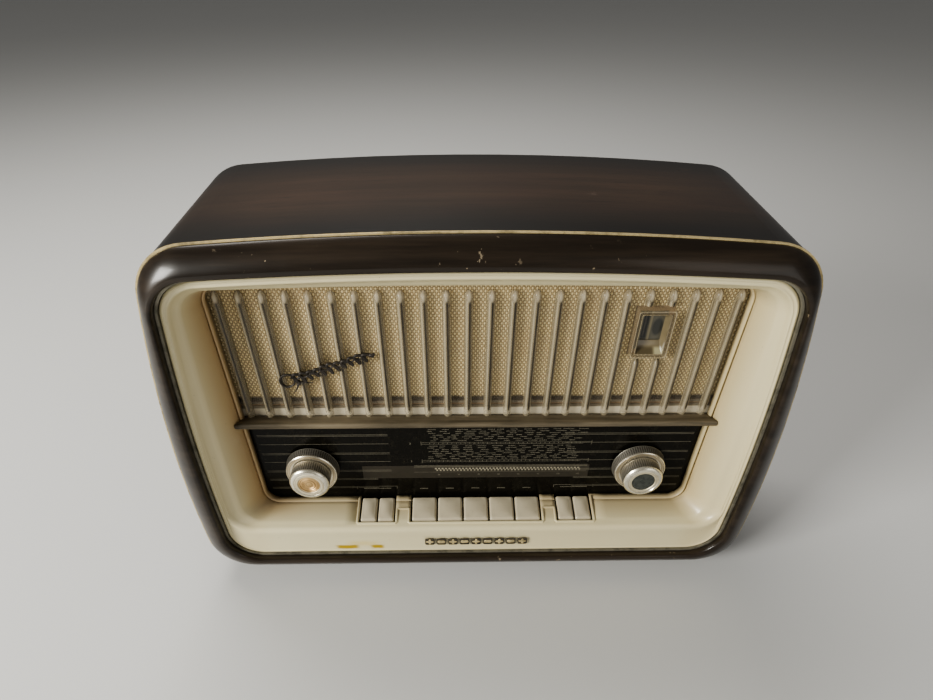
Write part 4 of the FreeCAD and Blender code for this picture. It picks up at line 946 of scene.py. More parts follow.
def flat_tube(patches, path, radius, steps=8):
    """Round bar along a path that lies flat: its rings stand upright."""
    ahead = np.gradient(path[:, :2], axis=0)
    ahead /= np.linalg.norm(ahead, axis=1)[:, None]
    side = np.stack([ahead[:, 1], -ahead[:, 0], np.zeros(len(path))], 1)
    angle = np.linspace(0, 2 * math.pi, steps, endpoint=False)[None, :, None]
    ring = side[:, None] * np.cos(angle) + np.array([0, 0, 1.0]) * np.sin(angle)
    patches.grid(path[:, None] + ring * radius, around=True)


def make_mask():
    """Ivory mask with its rolled walls, beads and key wells."""
    s = sizes("radio_mask")
    rows = mask_rows()
    patches = Patches()
    patches.grid(rows, around=True, keep=mask_surface(rows))
    finish = ivory("ivory", tuple(s.ivory), tuple(s.shade))
    patches.piece("mask", finish, "cabinet", "ivory", ["front_mask"], sharp=50, solid=2.2 * MM)
    border = Patches()
    well_border(border, rows)
    border.piece("key_well_border", finish, "cabinet", "ivory")


# ---- grille, cloth and window -----------------------------------------------------------------

def holed_sheet(low, high, hole_low, hole_high, y, step):
    """Flat grid in the XZ plane whose rows and columns stop at a rectangular hole, and the
    mask of the faces that stay."""
    def stations(a, b, c, d):
        runs = [np.linspace(p, q, max(2, int((q - p) / step))) for p, q in ((a, b), (b, c), (c, d))]
        return np.unique(np.concatenate(runs).round(7))

    x = stations(low[0], hole_low[0], hole_high[0], high[0])
    z = stations(low[2], hole_low[2], hole_high[2], high[2])
    grid = np.stack([*np.broadcast_arrays(x[None, :], np.full((len(z), 1), y), z[:, None])], -1)
    middle_x = (x[1:] + x[:-1]) / 2
    middle_z = (z[1:] + z[:-1]) / 2
    beside = (middle_x < hole_low[0]) | (middle_x > hole_high[0])
    over = (middle_z < hole_low[2]) | (middle_z > hole_high[2])
    return grid, over[:, None] | beside[None, :]


def rib_row(s):
    """Middles of the ribs across the opening."""
    half = MASK_HIGH[0] - sizes("radio_mask").inset - s.rib_margin
    return np.linspace(-half, half, s.ribs)


def rib(patches, x, low, high, s, round_low):
    """One rib: an arc (half width cos a, depth sin a) carried upwards, closed at the back.

    Near an end that is rounded the arc shrinks as sqrt(1 - t^2), which makes a half dome.
    """
    half = s.rib_width / 2
    angle = np.linspace(0, math.pi, 15)
    plate = PANEL_HIGH[1] - 2 * MM
    arc_x = np.cos(angle) * half
    arc_y = np.sin(angle) * s.rib_depth
    loop_x = np.concatenate([arc_x, arc_x[::-1][4:-4:3]])
    loop_y = np.concatenate([arc_y, np.full(len(loop_x) - len(arc_x), -0.4 * MM)])
    share = np.concatenate([np.linspace(0, 1, 15), np.full(len(loop_x) - 15, 0.5)])
    t = np.sin(np.linspace(0, math.pi / 2, 7))
    dome = high - s.rib_depth + t * s.rib_depth
    shrink = np.sqrt(np.clip(1 - t ** 2, 0, 1))
    levels = np.concatenate([np.linspace(low, high - s.rib_depth, 9)[:-1], dome])
    size = np.concatenate([np.ones(8), shrink])
    if round_low:
        size[0] = 0
        levels = np.insert(levels, 1, low + 0.3 * s.rib_depth)
        size = np.insert(size, 1, 0.75)
        levels = np.insert(levels, 2, low + 0.8 * s.rib_depth)
        size = np.insert(size, 2, 0.97)
    else:
        levels = np.insert(levels, 0, low)
        size = np.insert(size, 0, 0.0)
    grid = np.stack(np.broadcast_arrays(x + loop_x[None, :] * size[:, None],
                                        plate - loop_y[None, :] * size[:, None],
                                        levels[:, None]), -1)
    across = np.stack(np.broadcast_arrays(share[None, :], levels[:, None] * 0), -1)
    patches.grid(grid, around=True, shell=True, uv=across)


def make_grille():
    """Clear panel with its ribs, two of them interrupted by the window."""
    s = sizes("radio_grille")
    top = MASK_HIGH[2] - sizes("radio_mask").top_drop - s.rib_end
    # the last colour is the painted dark of the lines along each rib
    finish = rib_plastic("clear_ribs", top, (0.385, 0.325, 0.215), (0.030, 0.022, 0.012))
    plate_finish = clear_plastic("clear_plate", 0.05, (0.60, 0.54, 0.42))
    plate = Patches()
    front = PANEL_HIGH[1] - 2 * MM
    low = np.array([PANEL_LOW[0], 0, PANEL_LOW[2]])
    grid, keep = holed_sheet(low, PANEL_HIGH, EYE_LOW, EYE_HIGH, front, 30 * MM)
    plate.grid(grid, keep=keep, uv=np.full((*grid.shape[:2], 2), 0.5))
    plate.piece("grille_plate", plate_finish, "cabinet", "clear_plastic", ["grille_panel"],
                solid=1.8 * MM)
    ribs = Patches()
    bottom = BAR_HIGH[2] + 0.3 * MM
    for x in rib_row(s):
        if EYE_LOW[0] - 1 * MM < x < EYE_HIGH[0] + 1 * MM:
            rib(ribs, x, bottom, EYE_LOW[2] - 2 * MM, s, False)
            rib(ribs, x, EYE_HIGH[2] + 2 * MM, top, s, True)
        else:
            rib(ribs, x, bottom, top, s, False)
    ribs.piece("grille_ribs", finish, "cabinet", "clear_plastic", sharp=60)


def make_cloth():
    """Speaker cloth stretched over the board, slack by a fraction: its depth is a sine of x,
    shifted by a sine of z, times a sine of z."""
    s = sizes("radio_grille")
    grid, keep = holed_sheet(CLOTH_LOW, CLOTH_HIGH, EYE_LOW, EYE_HIGH, CLOTH_LOW[1], 2.2 * MM)
    x = grid[..., 0]
    z = grid[..., 2]
    slack = np.sin(x * 41 + np.sin(z * 60)) * np.sin(z * 53 + 1.3)
    grid[..., 1] += 0.12 * MM * (1 + slack)
    patches = Patches()
    patches.grid(grid, keep=keep)
    hem_top = CLOTH_LOW[2] + s.hem
    finish = basket_weave("cloth", s.thread, tuple(s.straw), tuple(s.umber), hem_top)
    cloth = patches.piece("cloth", finish, "cabinet", "speaker_cloth", ["speaker_cloth"], sharp=180)


def make_window():
    """Bevelled window: a clear raised frame, a sunken box with four sloping sides, and the
    dark eye at its bottom. Each side is a run of rounded rectangles that shrink and drop."""
    s = sizes("radio_grille")
    middle = ((EYE_LOW + EYE_HIGH) / 2)[[0, 2]]
    half = ((EYE_HIGH - EYE_LOW) / 2)[[0, 2]]
    front = EYE_LOW[1]
    back = EYE_HIGH[1]
    border = s.eye_border

    def ring(inset, corner, lift=0.0):
        return rounded_rectangle(half[0] - inset, half[1] - inset - abs(lift) / 2, corner) + (
            middle + (0, lift / 2))

    steps = [(0.0, back, 2.0), (0.0, front + 1.2 * MM, 2.0), (0.4 * MM, front + 0.4 * MM, 2.0),
             (1.1 * MM, front, 2.0), (1.7 * MM, front + 0.3 * MM, 1.8),
             (2.1 * MM, front + 1.1 * MM, 1.8), (border - 1.1 * MM, front + 1.3 * MM, 1.6),
             (border - 0.6 * MM, front + 0.5 * MM, 1.4), (border, front + 0.9 * MM, 1.2)]
    rows = np.stack([upright(ring(inset, corner * MM), y) for inset, y, corner in steps])
    # for each row, from painted highlight at 0 to painted shade at 1
    share = np.array([0.5, 0.5, 0.8, 0.1, 0.5, 0.9, 0.9, 0.1, 0.9])
    border_patches = Patches()
    border_patches.grid(rows, around=True,
                        uv=np.stack([np.repeat(share[:, None], rows.shape[1], 1)] * 2, -1))
    border_patches.piece("window_frame", window_plastic("clear_frame"), "cabinet",
                         "clear_plastic", ["eye_window"], sharp=25)
    box = Patches()
    mouth = ring(border, 1.2 * MM)
    pane = ring(border + 2.4 * MM, 0.8 * MM, 7 * MM)
    box.grid(np.stack([upright(mouth, front + 0.9 * MM), upright(mouth * 0.6 + pane * 0.4,
                       front + 5 * MM), upright(pane, back - 0.4 * MM)]), around=True)
    box.piece("window_box", window_box("window_box", middle, half), "cabinet", "clear_plastic",
              sharp=25)
    eye = Patches()
    turn = np.linspace(-1.1, 1.1, 17)
    height = np.linspace(-half[1] + border, half[1] - border, 9)
    bulge = back + 1.6 * MM - 1.4 * MM * np.cos(turn)[None, :]
    eye.grid(np.stack(np.broadcast_arrays(
        middle[0] + (half[0] - border) * np.sin(turn)[None, :] / math.sin(1.1), bulge,
        middle[1] + height[:, None]), -1))
    eye.piece("eye_screen", eye_glass("eye", middle), "cabinet", "eye_glass")


def window_plastic(name):
    """Clear frame of the window: its crests, told by the map, are pale with painted highlight and its
    grooves dark with painted shade.
    """
    t = Finish(name)
    across = across_map(t)
    haze = t.noise(160, 3)
    shade = t.mix(across.rise(0.25, 0.75), (0.50, 0.43, 0.29), (0.16, 0.125, 0.075))
    alpha = 0.28 + haze * 0.25 + abs(across - 0.5).rise(0.2, 0.4) * 0.18
    return t.done(Base_Color=shade, Alpha=alpha, Roughness=0.10 + haze * 0.10,
                  Normal=t.bump(haze, 0.2 * MM, 0.5))


def window_box(name, middle, half):
    """Sloping sides of the window: tan, with a painted highlight at the lower right and darker along the
    rest of the bottom.
    """
    t = Finish(name)
    low = 1 - (t.z - middle[1] + half[1]).rise(7 * MM, 10 * MM)
    haze = t.noise(120, 3)
    right = (t.x - middle[0]).rise(2 * MM, 6 * MM)
    shade = t.mix(haze, (0.13, 0.105, 0.060), (0.21, 0.17, 0.10))
    # painted highlight on the lower right
    shade = t.mix(right * low * 0.8, shade, (0.42, 0.39, 0.24))
    shade = t.mix(low * (1 - right) * 0.85, shade, (0.080, 0.062, 0.032))
    return t.done(Base_Color=shade, Roughness=0.14 + haze * 0.12, Coat_Weight=0.3)


def eye_glass(name, middle):
    """Dark curved glass: a black slot with a rounded foot up its left half, a pale strip
    beside it and a dark disc at the right."""
    t = Finish(name)
    across = t.x - middle[0]
    up = t.z - middle[1]
    slot = across.within(-7.6 * MM, -3.6 * MM, 0.5 * MM) * up.rise(-8 * MM, -6 * MM)
    flank = across.within(-6.4 * MM, -5.2 * MM, 0.35 * MM) * up.rise(-7 * MM, -4 * MM)
    strip = across.within(-2.6 * MM, -0.6 * MM, 0.5 * MM)
    side = across - 4.6 * MM
    rise = (up - 3.5 * MM) * 0.55
    disc = 1 - ((side * side + rise * rise) ** 0.5).rise(3.2 * MM, 5.2 * MM)
    haze = t.noise(90, 3)
    shade = t.mix(haze, (0.062, 0.058, 0.040), (0.12, 0.11, 0.08))
    shade = t.mix(strip * 0.8, shade, (0.26, 0.22, 0.13))
    shade = t.mix(slot, shade, (0.010, 0.009, 0.006))
    shade = t.mix(flank * 0.6, shade, (0.10, 0.09, 0.07))
    shade = t.mix(disc * 0.9, shade, (0.022, 0.023, 0.020))
    return t.done(Base_Color=shade, Roughness=0.10 + haze * 0.1, Coat_Weight=0.3)


def make_bar():
    """Bar between grille and dial: a rounded profile carried along X, whose ends follow the
    sloping walls and are rounded off."""
    low, high = BAR_LOW, BAR_HIGH
    depth = high[1] - low[1]
    profile = rounded_rectangle(depth / 2, (high[2] - low[2]) / 2, 2.4 * MM, 4)
    middle = ((low[1] + high[1]) / 2, (low[2] + high[2]) / 2)
    opening = MASK_HIGH[0] - sizes("radio_mask").inset
    shares = np.array([-1, -0.9985, -0.995, -0.99, *np.linspace(-0.97, 0.97, 30), 0.99, 0.995,
                       0.9985, 1])
    size = np.clip(np.sqrt(np.clip(1 - ((np.abs(shares) - 0.99) / 0.01) ** 2, 0, 1)), 0, 1)
    size = np.where(np.abs(shares) < 0.99, 1.0, size)
    y = middle[0] + profile[None, :, 0] * size[:, None]
    z = middle[1] + profile[None, :, 1] * size[:, None]
    back = np.clip((high[1] - 3 * MM - y) / (depth - 3 * MM), 0, 1)
    reach = opening + (high[0] - opening) * back
    patches = Patches()
    patches.grid(np.stack([shares[:, None] * reach, y, z], -1), around=True, shell=True)
    patches.piece("bar", bar_plastic("bar"), "cabinet", "bar_plastic", ["divider_bar"], sharp=50)


def make_emblem():
    """Plain dark flourish on the ribs: one large closed loop, then a chain of close loops
    (s + a sin ws, b(s) cos ws) that shrinks to the right, a tail and plain strokes."""
    low, high = edges_of("emblem")
    tilt = math.radians(20)
    middle = (low + high) / 2
    y = low[1] + 0.8 * MM

    def slanted(u, v, y):
        return np.stack([middle[0] + u * math.cos(tilt) - v * math.sin(tilt),
                         np.broadcast_to(y, len(u)),
                         middle[2] + u * math.sin(tilt) + v * math.cos(tilt)], 1)

    patches = Patches()
    turn = np.linspace(-0.6, 2 * math.pi + 0.5, 80)
    swell = 0.75 + 0.35 * np.sin(turn / 2)
    shrink = 1 - 0.045 * turn
    u = -36 * MM + 7.6 * MM * np.cos(turn) * shrink
    v = 1.0 * MM + 6.8 * MM * np.sin(turn) * shrink
    tube(patches, slanted(u, v, y), 0.95 * MM * swell, 8)
    s = np.linspace(0, 1, 480)
    loops = 12
    wave = loops * 2 * math.pi * s
    swell = (4.6 - 1.0 * s + 0.8 * np.sin(s * 17)) * MM * (1 - s ** 14)
    u = -32 * MM + 75 * MM * s + 2.6 * MM * np.sin(wave)
    v = swell * np.cos(wave + 0.6)
    weight = 1.05 * MM * (1 + 0.25 * np.sin(wave + 2.2))
    tube(patches, slanted(u, v, y + 0.3 * MM * np.sin(wave * 2)), weight, 8)
    s = np.linspace(0, 1, 40)
    u = -28 * MM + 66 * MM * s
    v = 0.8 * MM * np.sin(s * 40)
    tube(patches, slanted(u, v, y + 0.5 * MM), 0.85 * MM * (1.2 - 0.6 * s), 8)
    s = np.linspace(0, 1, 30)
    u = -27 * MM - 11 * MM * s + 2 * MM * np.sin(s * math.pi)
    v = -2 * MM - 10 * MM * s ** 1.2
    tube(patches, slanted(u, v, y), 1.25 * MM * (1.15 - s), 8)
    s = np.linspace(0, 1, 30)
    u = -31 * MM + 14 * MM * s
    v = -5.6 * MM + 1.6 * MM * np.sin(s * 5)
    tube(patches, slanted(u, v, y), 0.8 * MM * (1.3 - s), 8)
    patches.piece("flourish", thin_metal("flourish", (0.050, 0.043, 0.036), 0.34), "cabinet",
                  "dark_metal", ["emblem"], sharp=80)


def make_ornaments():
    """Row of small gilt lozenges and bars on dark tiles, whose dark stands for the shadow round each
    ornament, instead of lettering.
    """
    low, high = edges_of("ornament_row")
    half = (high[2] - low[2]) / 2
    pitch = (high[0] - low[0] - 2 * half) / 8
    dark = Patches()
    gilt = Patches()
    for index in range(9):
        centre = np.array([low[0] + half + index * pitch, 0, (low[2] + high[2]) / 2])
        tile = rounded_rectangle(half * 1.24, half * 1.26, 1.6 * MM, 3)
        rows = [tile, tile, tile * 0.92, tile * 0]
        depths = [high[1] - 0.1 * MM, low[1] + 0.75 * MM, low[1] + 0.55 * MM, low[1] + 0.55 * MM]
        dark.grid(np.stack([upright(row, y) for row, y in zip(rows, depths)]) + centre,
                  around=True)
        corners = 4 if index % 2 == 0 else 2
        turn = np.linspace(0, 2 * math.pi, 24, endpoint=False)
        size = half * (0.50 + 0.56 * np.abs(np.cos(turn * corners / 2)) ** 2)
        star = np.stack([size * np.cos(turn), size * np.sin(turn)], 1)
        rows = [star, star * 0.9, star * 0.35, star * 0]
        depths = [low[1] + 0.5 * MM, low[1] + 0.25 * MM, low[1] + 0.02 * MM, low[1]]
        gilt.grid(np.stack([upright(row, y) for row, y in zip(rows, depths)]) + centre,
                  around=True)
    # dark tiles that stand for the painted shadow round each gilt ornament
    dark.piece("ornament_shadow_tiles", moulded("tile", (0.028, 0.021, 0.012), (0.060, 0.046, 0.026), 0.45),
               "cabinet", "gold_line", ["ornament_row"], sharp=30)
    gilt.piece("ornament_stars", thin_metal("gilt", (0.75, 0.62, 0.34), 0.25), "cabinet",
               "gold_line", sharp=25)


# ---- dial ---------------------------------------------------------------------------------------

def rectangles(patches, spans, y):
    """Flat printed marks: each row of spans is (left, right, low, high), facing forwards."""
    spans = np.array(spans)
    left, right, low, high = spans.T
    x = np.stack([left, right, right, left], 1)
    z = np.stack([low, low, high, high], 1)
    flat = np.stack([x, np.full_like(x, y), z], -1).reshape(-1, 3)
    patches.points.append(flat)
    patches.faces.append(np.arange(len(flat)).reshape(-1, 4) + patches.total)
    patches.uvs.append(np.zeros((len(flat), 2)))
    patches.total += len(flat)


def figure(text, height, x, z, y, finish, name):
    """A printed number as a flat mesh piece, its middle at x and its foot at z."""
    curve = bpy.data.curves.new(name, "FONT")
    curve.body = text
    curve.size = height
    curve.align_x = "CENTER"
    writing = bpy.data.objects.new(name, curve)
    bpy.context.scene.collection.objects.link(writing)
    mesh = bpy.data.meshes.new_from_object(writing)
    bpy.data.objects.remove(writing)
    mesh.transform(Matrix.Translation((x, y, z)) @ Matrix.Rotation(math.pi / 2, 4, "X"))
    mesh.name = name
    mesh.materials.clear()
    return shown(name, mesh, finish, "cabinet")


def dial_spans(s, rng):
    """All printed marks of the dial as (left, right, low, high).

    Paired lines run in from both sides and stop short of the middle zone. Between the levels
    of the middle zone lie rows of short dashes of chance length, under them the three lines
    of the scale, and at the foot two brackets and a row of ticks over each wide key.
    """
    top = BAR_LOW[2] - 7 * MM
    half = MASK_HIGH[0] - sizes("radio_mask").inset - 5 * MM
    line = s.line
    spans = []

    def mark(left, right, z, thick=line):
        spans.append((left, right, z - thick / 2, z + thick / 2))

    levels = [top - index * s.level for index in range(8)]
    for index, z in enumerate(levels):
        inner_left = -82 * MM if index < 6 else -96 * MM
        for side in (-1, 1):
            ends = sorted((side * half, side * (-inner_left)))
            mark(*ends, z)
            if index % 2 == 1 or index > 5:
                mark(*ends, z - 1.5 * MM)
    for index in (0, 2, 4):
        z = levels[index]
        mark(-52 * MM, 108 * MM, z + 1.0 * MM, line * 0.8)
        mark(-52 * MM, 100 * MM, z - 1.0 * MM, line * 0.8)
        spans.append((-52 * MM, -52 * MM + line, z - 2.4 * MM, z + 2.4 * MM))
        spans.append((108 * MM - line, 108 * MM, z - 2.4 * MM, z + 2.4 * MM))
        for x in np.arange(-44 * MM, 100 * MM, 4.15 * MM):
            spans.append((x, x + line, z - 1.0 * MM, z + 1.0 * MM))
    for first, last in ((0, 2), (2, 4)):
        rows = np.linspace(levels[first] - 3.4 * MM, levels[last] + 3.2 * MM, 8)
        for z in rows:
            x = -46 * MM + rng.uniform(0, 8 * MM)
            while x < 94 * MM:
                long = rng.uniform(4 * MM, 10 * MM)
                for letter in np.arange(x, x + long, 0.92 * MM):
                    tall = rng.uniform(0.5, 1.0) * MM
                    spans.append((letter, letter + 0.5 * MM, z - tall / 2, z + tall / 2))
                x += long + rng.uniform(2 * MM, 8 * MM)
    scale = levels[5] + 1.2 * MM
    mark(-60 * MM, 108 * MM, scale + 4.2 * MM)
    mark(-60 * MM, 108 * MM, scale + 2.4 * MM, line * 1.6)
    mark(-60 * MM, 108 * MM, scale - 4.6 * MM, line * 0.7)
    foot = GLASS_LOW[2] + 19.5 * MM
    for side in (-1, 1):
        near = side * 78 * MM
        far = side * 118 * MM
        left, right = sorted((near, far))
        mark(left, right, foot + 4 * MM)
        for x in (left, right - line):
            spans.append((x, x + line, foot + 0.6 * MM, foot + 4 * MM))
        for x in np.arange(left + 7 * MM, right - 6 * MM, 1.0 * MM):
            spans.append((x, x + 0.55 * MM, foot + 0.6 * MM, foot + 1.5 * MM))
    for index in range(5):
        middle = (index - 2) * KEY_PITCH
        for x in np.arange(middle - 4 * MM, middle + 4 * MM, 1.0 * MM):
            spans.append((x, x + 0.55 * MM, foot - 0.2 * MM, foot + 0.9 * MM))
    return spans, levels, scale


def scale_spans(scale):
    """Two staggered rows of small blocks that make the scale."""
    x = -40 * MM + np.arange(43) * 3.3 * MM
    upper = np.stack([x, x + 1.9 * MM, x * 0 + scale - 0.9 * MM, x * 0 + scale + 0.9 * MM], 1)
    lower = np.stack([x + 1.5 * MM, x + 3.1 * MM, x * 0 + scale - 3.1 * MM,
                      x * 0 + scale - 1.2 * MM], 1)
    return np.concatenate([upper, lower])


def make_dial():
    """Black glass with its print: lines, dashes, ticks, a pale band and plain numbers."""
    s = sizes("radio_dial")
    rng = np.random.default_rng(11)
    y = GLASS_LOW[1] - 0.06 * MM
    coat("dial_glass", black_glass("dial_glass_black"))
    spans, levels, scale = dial_spans(s, rng)
    ink = printed("dial_ink", tuple(s.ink))
    marks = Patches()
    rectangles(marks, spans, y)
    marks.piece("dial_print", ink, "cabinet", "dial_glass")
    blocks = Patches()
    rectangles(blocks, scale_spans(scale), y)
    blocks.piece("dial_scale", printed("dial_scale_ink", tuple(c * 1.4 for c in s.ink)),
                 "cabinet", "dial_glass")
    band = Patches()
    rectangles(band, [(-110 * MM, 110 * MM, scale - 12.5 * MM, scale + 4 * MM)], y + 0.02 * MM)
    band.piece("dial_band", printed("dial_band", tuple(s.band), 0.3), "cabinet", "dial_glass")
    for index, text in zip((0, 2, 4), "123"):
        figure(text, s.figures, -62 * MM, levels[index] - 1.2 * MM, y, ink, "band_number_" + text)
    for index in range(8):
        text = str(88 + 2 * index)
        figure(text, s.figures * 0.72, (-36 + index * 19.4) * MM, scale - 9 * MM, y, ink,
               "scale_number_" + text)


# ---- knobs and keys -------------------------------------------------------------------------------

def knurls(teeth, deep, low, high):
    """Crossed knurling between two depths: cos(n a + k y) cos(n a - k y), never outwards."""
    def wave(angle, y):
        band = np.clip((y - low) / (0.4 * MM), 0, 1) * np.clip((high - y) / (0.4 * MM), 0, 1)
        lean = y * 2 * math.pi / (3.4 * MM)
        cross = np.cos(teeth / 2 * angle + lean) * np.cos(teeth / 2 * angle - lean)
        return -deep * band * (0.5 - 0.5 * cross)
    return wave


def knurled_band(patches, radius, low, high, centre, teeth, deep):
    """Knurled side of a knob, with the height of its crests kept in the map."""
    steps = teeth * 5
    rows = max(8, int((high - low) / (0.42 * MM)))
    y = np.linspace(low, high, rows)[:, None]
    angle = np.linspace(0, 2 * math.pi, steps, endpoint=False)[None, :]
    sunk = knurls(teeth, deep, low, high)(angle, y)
    ring = np.interp(y, *radius) + sunk
    grid = np.stack([ring * np.cos(angle), y + angle * 0, ring * np.sin(angle)], -1)
    crest = np.stack([1 + sunk / deep, sunk * 0], -1)
    patches.grid(grid[::-1] + np.array(centre), around=True, uv=crest[::-1])


def make_outer_ring(node, body):
    """Outer ring: knurled side, polished line round the edge and a satin dished face."""
    s = sizes("radio_knobs")
    low, high = edges_of(node)
    centre = ((low[0] + high[0]) / 2, 0, (low[2] + high[2]) / 2)
    radius = (high[0] - low[0]) / 2
    front = low[1]
    back = high[1]
    rim = radius - 1.9 * MM
    knurled = Patches()
    taper = ([front, back], [radius - 1.2 * MM, radius])
    knurled_band(knurled, taper, front + 1.1 * MM, back - 0.3 * MM, centre, s.teeth, s.knurl)
    knurled.piece(node + "_side", knurled_metal(node + "_side", (0.48, 0.45, 0.38)), body,
                  "knob_metal", [node])
    polished = Patches()
    turned(polished, [(6 * MM, back), (radius - 0.7 * MM, back), (radius - 0.6 * MM, back - 0.3 * MM),
                      (radius - 1.6 * MM, back - 0.5 * MM), (radius - 1.7 * MM, front + 1.2 * MM),
                      (radius - 1.1 * MM, front + 1.1 * MM), (radius - 1.3 * MM, front + 0.5 * MM),
                      (rim, front), (rim - 0.5 * MM, front + 0.1 * MM),
                      (rim - 1.1 * MM, front + 0.7 * MM), (6 * MM, front + 0.8 * MM)], centre, 96)
    polished.piece(node + "_edge", turned_metal(node + "_edge", (0.80, 0.74, 0.60), (0.28, 0.24, 0.17),
                                                0.17), body, "knob_metal", sharp=20)
    face = Patches()
    turned(face, [(5.6 * MM, front + 1.4 * MM), (rim - 0.9 * MM, front + 1.4 * MM),
                  (rim - 0.9 * MM, front + 0.55 * MM), (rim - 4 * MM, front + 0.75 * MM),
                  (rim - 8 * MM, front + 0.85 * MM), (5.6 * MM, front + 0.7 * MM)], centre, 96)
    face.piece(node + "_face", turned_metal(node + "_face", tuple(s.satin), (0.30, 0.25, 0.17), 0.36,
                                            0.5 * MM, (centre[0], centre[2])), body, "knob_metal",
               sharp=20)


def make_inner_knob(node, cap, body, dark):
    """Inner knob: knurled side, wide polished chamfer and a cap of stepped rings."""
    s = sizes("radio_knobs")
    low, high = edges_of(node)
    centre = ((low[0] + high[0]) / 2, 0, (low[2] + high[2]) / 2)
    radius = (high[0] - low[0]) / 2
    front = low[1]
    back = high[1]
    inner = radius - 4.4 * MM
    knurled = Patches()
    flat = ([front, back], [radius, radius])
    knurled_band(knurled, flat, front + 3.2 * MM, back, centre, int(s.teeth * 0.8), s.knurl)
    knurled.piece(node + "_side", knurled_metal(node + "_side", (0.50, 0.47, 0.40)), body,
                  "knob_metal", [node])
    polished = Patches()
    turned(polished, [(4 * MM, back), (radius - 0.7 * MM, back), (radius - 0.7 * MM, front + 3.3 * MM),
                      (radius - 0.1 * MM, front + 3.2 * MM), (radius - 0.1 * MM, front + 2.6 * MM),
                      (radius - 0.7 * MM, front + 1.5 * MM), (radius - 1.9 * MM, front + 0.5 * MM),
                      (radius - 3.2 * MM, front), (inner, front), (inner - 0.4 * MM, front + 0.6 * MM),
                      (inner - 0.5 * MM, front + 1.6 * MM), (4 * MM, front + 1.7 * MM)], centre, 96)
    polished.piece(node + "_edge", turned_metal(node + "_edge", (0.80, 0.75, 0.62), (0.30, 0.26, 0.19),
                                                0.19), body, "knob_metal", sharp=22)
    rim = inner - 0.5 * MM
    face = Patches()
    disc = Patches()
    if dark:
        turned(face, [(rim, front + 1.6 * MM), (rim, front + 0.5 * MM), (rim - 0.6 * MM, front + 0.2 * MM),
                      (rim - 2.4 * MM, front + 0.3 * MM), (rim - 2.9 * MM, front + 0.9 * MM),
                      (rim - 2.9 * MM, front + 1.6 * MM)], centre, 96)
        turned(disc, [(rim - 2.8 * MM, front + 1.6 * MM), (rim - 2.9 * MM, front + 0.8 * MM),
                      (rim - 5 * MM, front + 0.6 * MM), (0, front + 0.5 * MM)], centre, 96)
        shine = moulded(cap + "_disc", (0.020, 0.024, 0.020), (0.045, 0.05, 0.042), 0.14, 0.5, 300)
        slot = "cap_dark"
    else:
        turned(face, [(rim, front + 1.6 * MM), (rim, front + 0.4 * MM), (rim - 0.8 * MM, front + 0.1 * MM),
                      (rim - 3.0 * MM, front + 0.2 * MM), (rim - 3.4 * MM, front + 0.9 * MM),
                      (rim - 3.9 * MM, front + 1.6 * MM)], centre, 96)
        turned(disc, [(rim - 3.6 * MM, front + 1.6 * MM), (rim - 3.7 * MM, front + 0.9 * MM),
                      (rim - 4.8 * MM, front + 0.5 * MM), (rim - 5.4 * MM, front + 1.1 * MM),
                      (rim - 6.6 * MM, front + 0.6 * MM), (rim - 7.2 * MM, front + 1.2 * MM),
                      (rim - 8.4 * MM, front + 0.7 * MM), (rim - 9.2 * MM, front + 1.3 * MM),
                      (1.4 * MM, front + 1.1 * MM), (0, front + 0.7 * MM)], centre, 96)
        shine = turned_metal(cap + "_disc", tuple(s.copper), (0.20, 0.12, 0.05), 0.42, 0.6 * MM,
                             (centre[0], centre[2]))
        slot = "cap_gold"
    ring = turned_metal(cap + "_ring", (0.82, 0.75, 0.57), (0.40, 0.33, 0.22), 0.42, 0.45 * MM,
                        (centre[0], centre[2]))
    face.piece(cap + "_ring", ring, body, slot, [cap], sharp=20)
    disc.piece(cap + "_disc", shine, body, slot, sharp=20)


def divided(loop, count):
    """Closed loop with every run between two points cut into count equal parts."""
    ahead = np.roll(loop, -1, axis=0) - loop
    share = np.arange(count)[:, None] / count
    return (loop[:, None] + ahead[:, None] * share).reshape(-1, loop.shape[1])


def key_cap(patches, low, high, rise):
    """Cap of a piano key: rounded rectangles that shrink as the edge turns over, closed by
    rows that swell by (1 - x^2)(1 - y^3); the whole top slopes up to the back by rise."""
    s = sizes("radio_keys")
    half = np.array([(high[0] - low[0]) / 2, (high[1] - low[1]) / 2])
    centre = (low[:2] + high[:2]) / 2
    top = high[2] - rise
    rows = []
    for z, inset in [(low[2], 0.6 * MM), (low[2] + 1 * MM, 0.0), (top - s.round, 0.0)]:
        rows.append((z, inset, 1.0))
    for turn in np.linspace(0.2, math.pi / 2, 7):
        inset = s.round * (1 - math.cos(turn)) * 0.9
        rows.append((top - s.round * (1 - math.sin(turn)), inset, 1.0))
    rows += [(top, s.round * 0.9, k) for k in (0.93, 0.8, 0.62, 0.42, 0.2, 0.0)]
    flat = half - s.round * 0.9
    grid = []
    for z, inset, share in rows:
        loop = divided(rounded_rectangle(half[0] - inset, half[1] - inset, 1.5 * MM), 5) * share
        slope = rise * np.clip((loop[:, 1] + half[1]) / (2 * half[1]), 0, 1)
        lift = slope if z > low[2] + 2 * MM else slope * 0
        if share < 1:
            swell = (1 - np.abs(loop[:, 0] / flat[0]) ** 2) * (1 - np.abs(loop[:, 1] / flat[1]) ** 3)
            lift = lift + s.crown * np.clip(swell, 0, 1)
        grid.append(np.stack([loop[:, 0] + centre[0], loop[:, 1] + centre[1], z + lift], 1))
    patches.grid(np.stack(grid), around=True, shell=True)


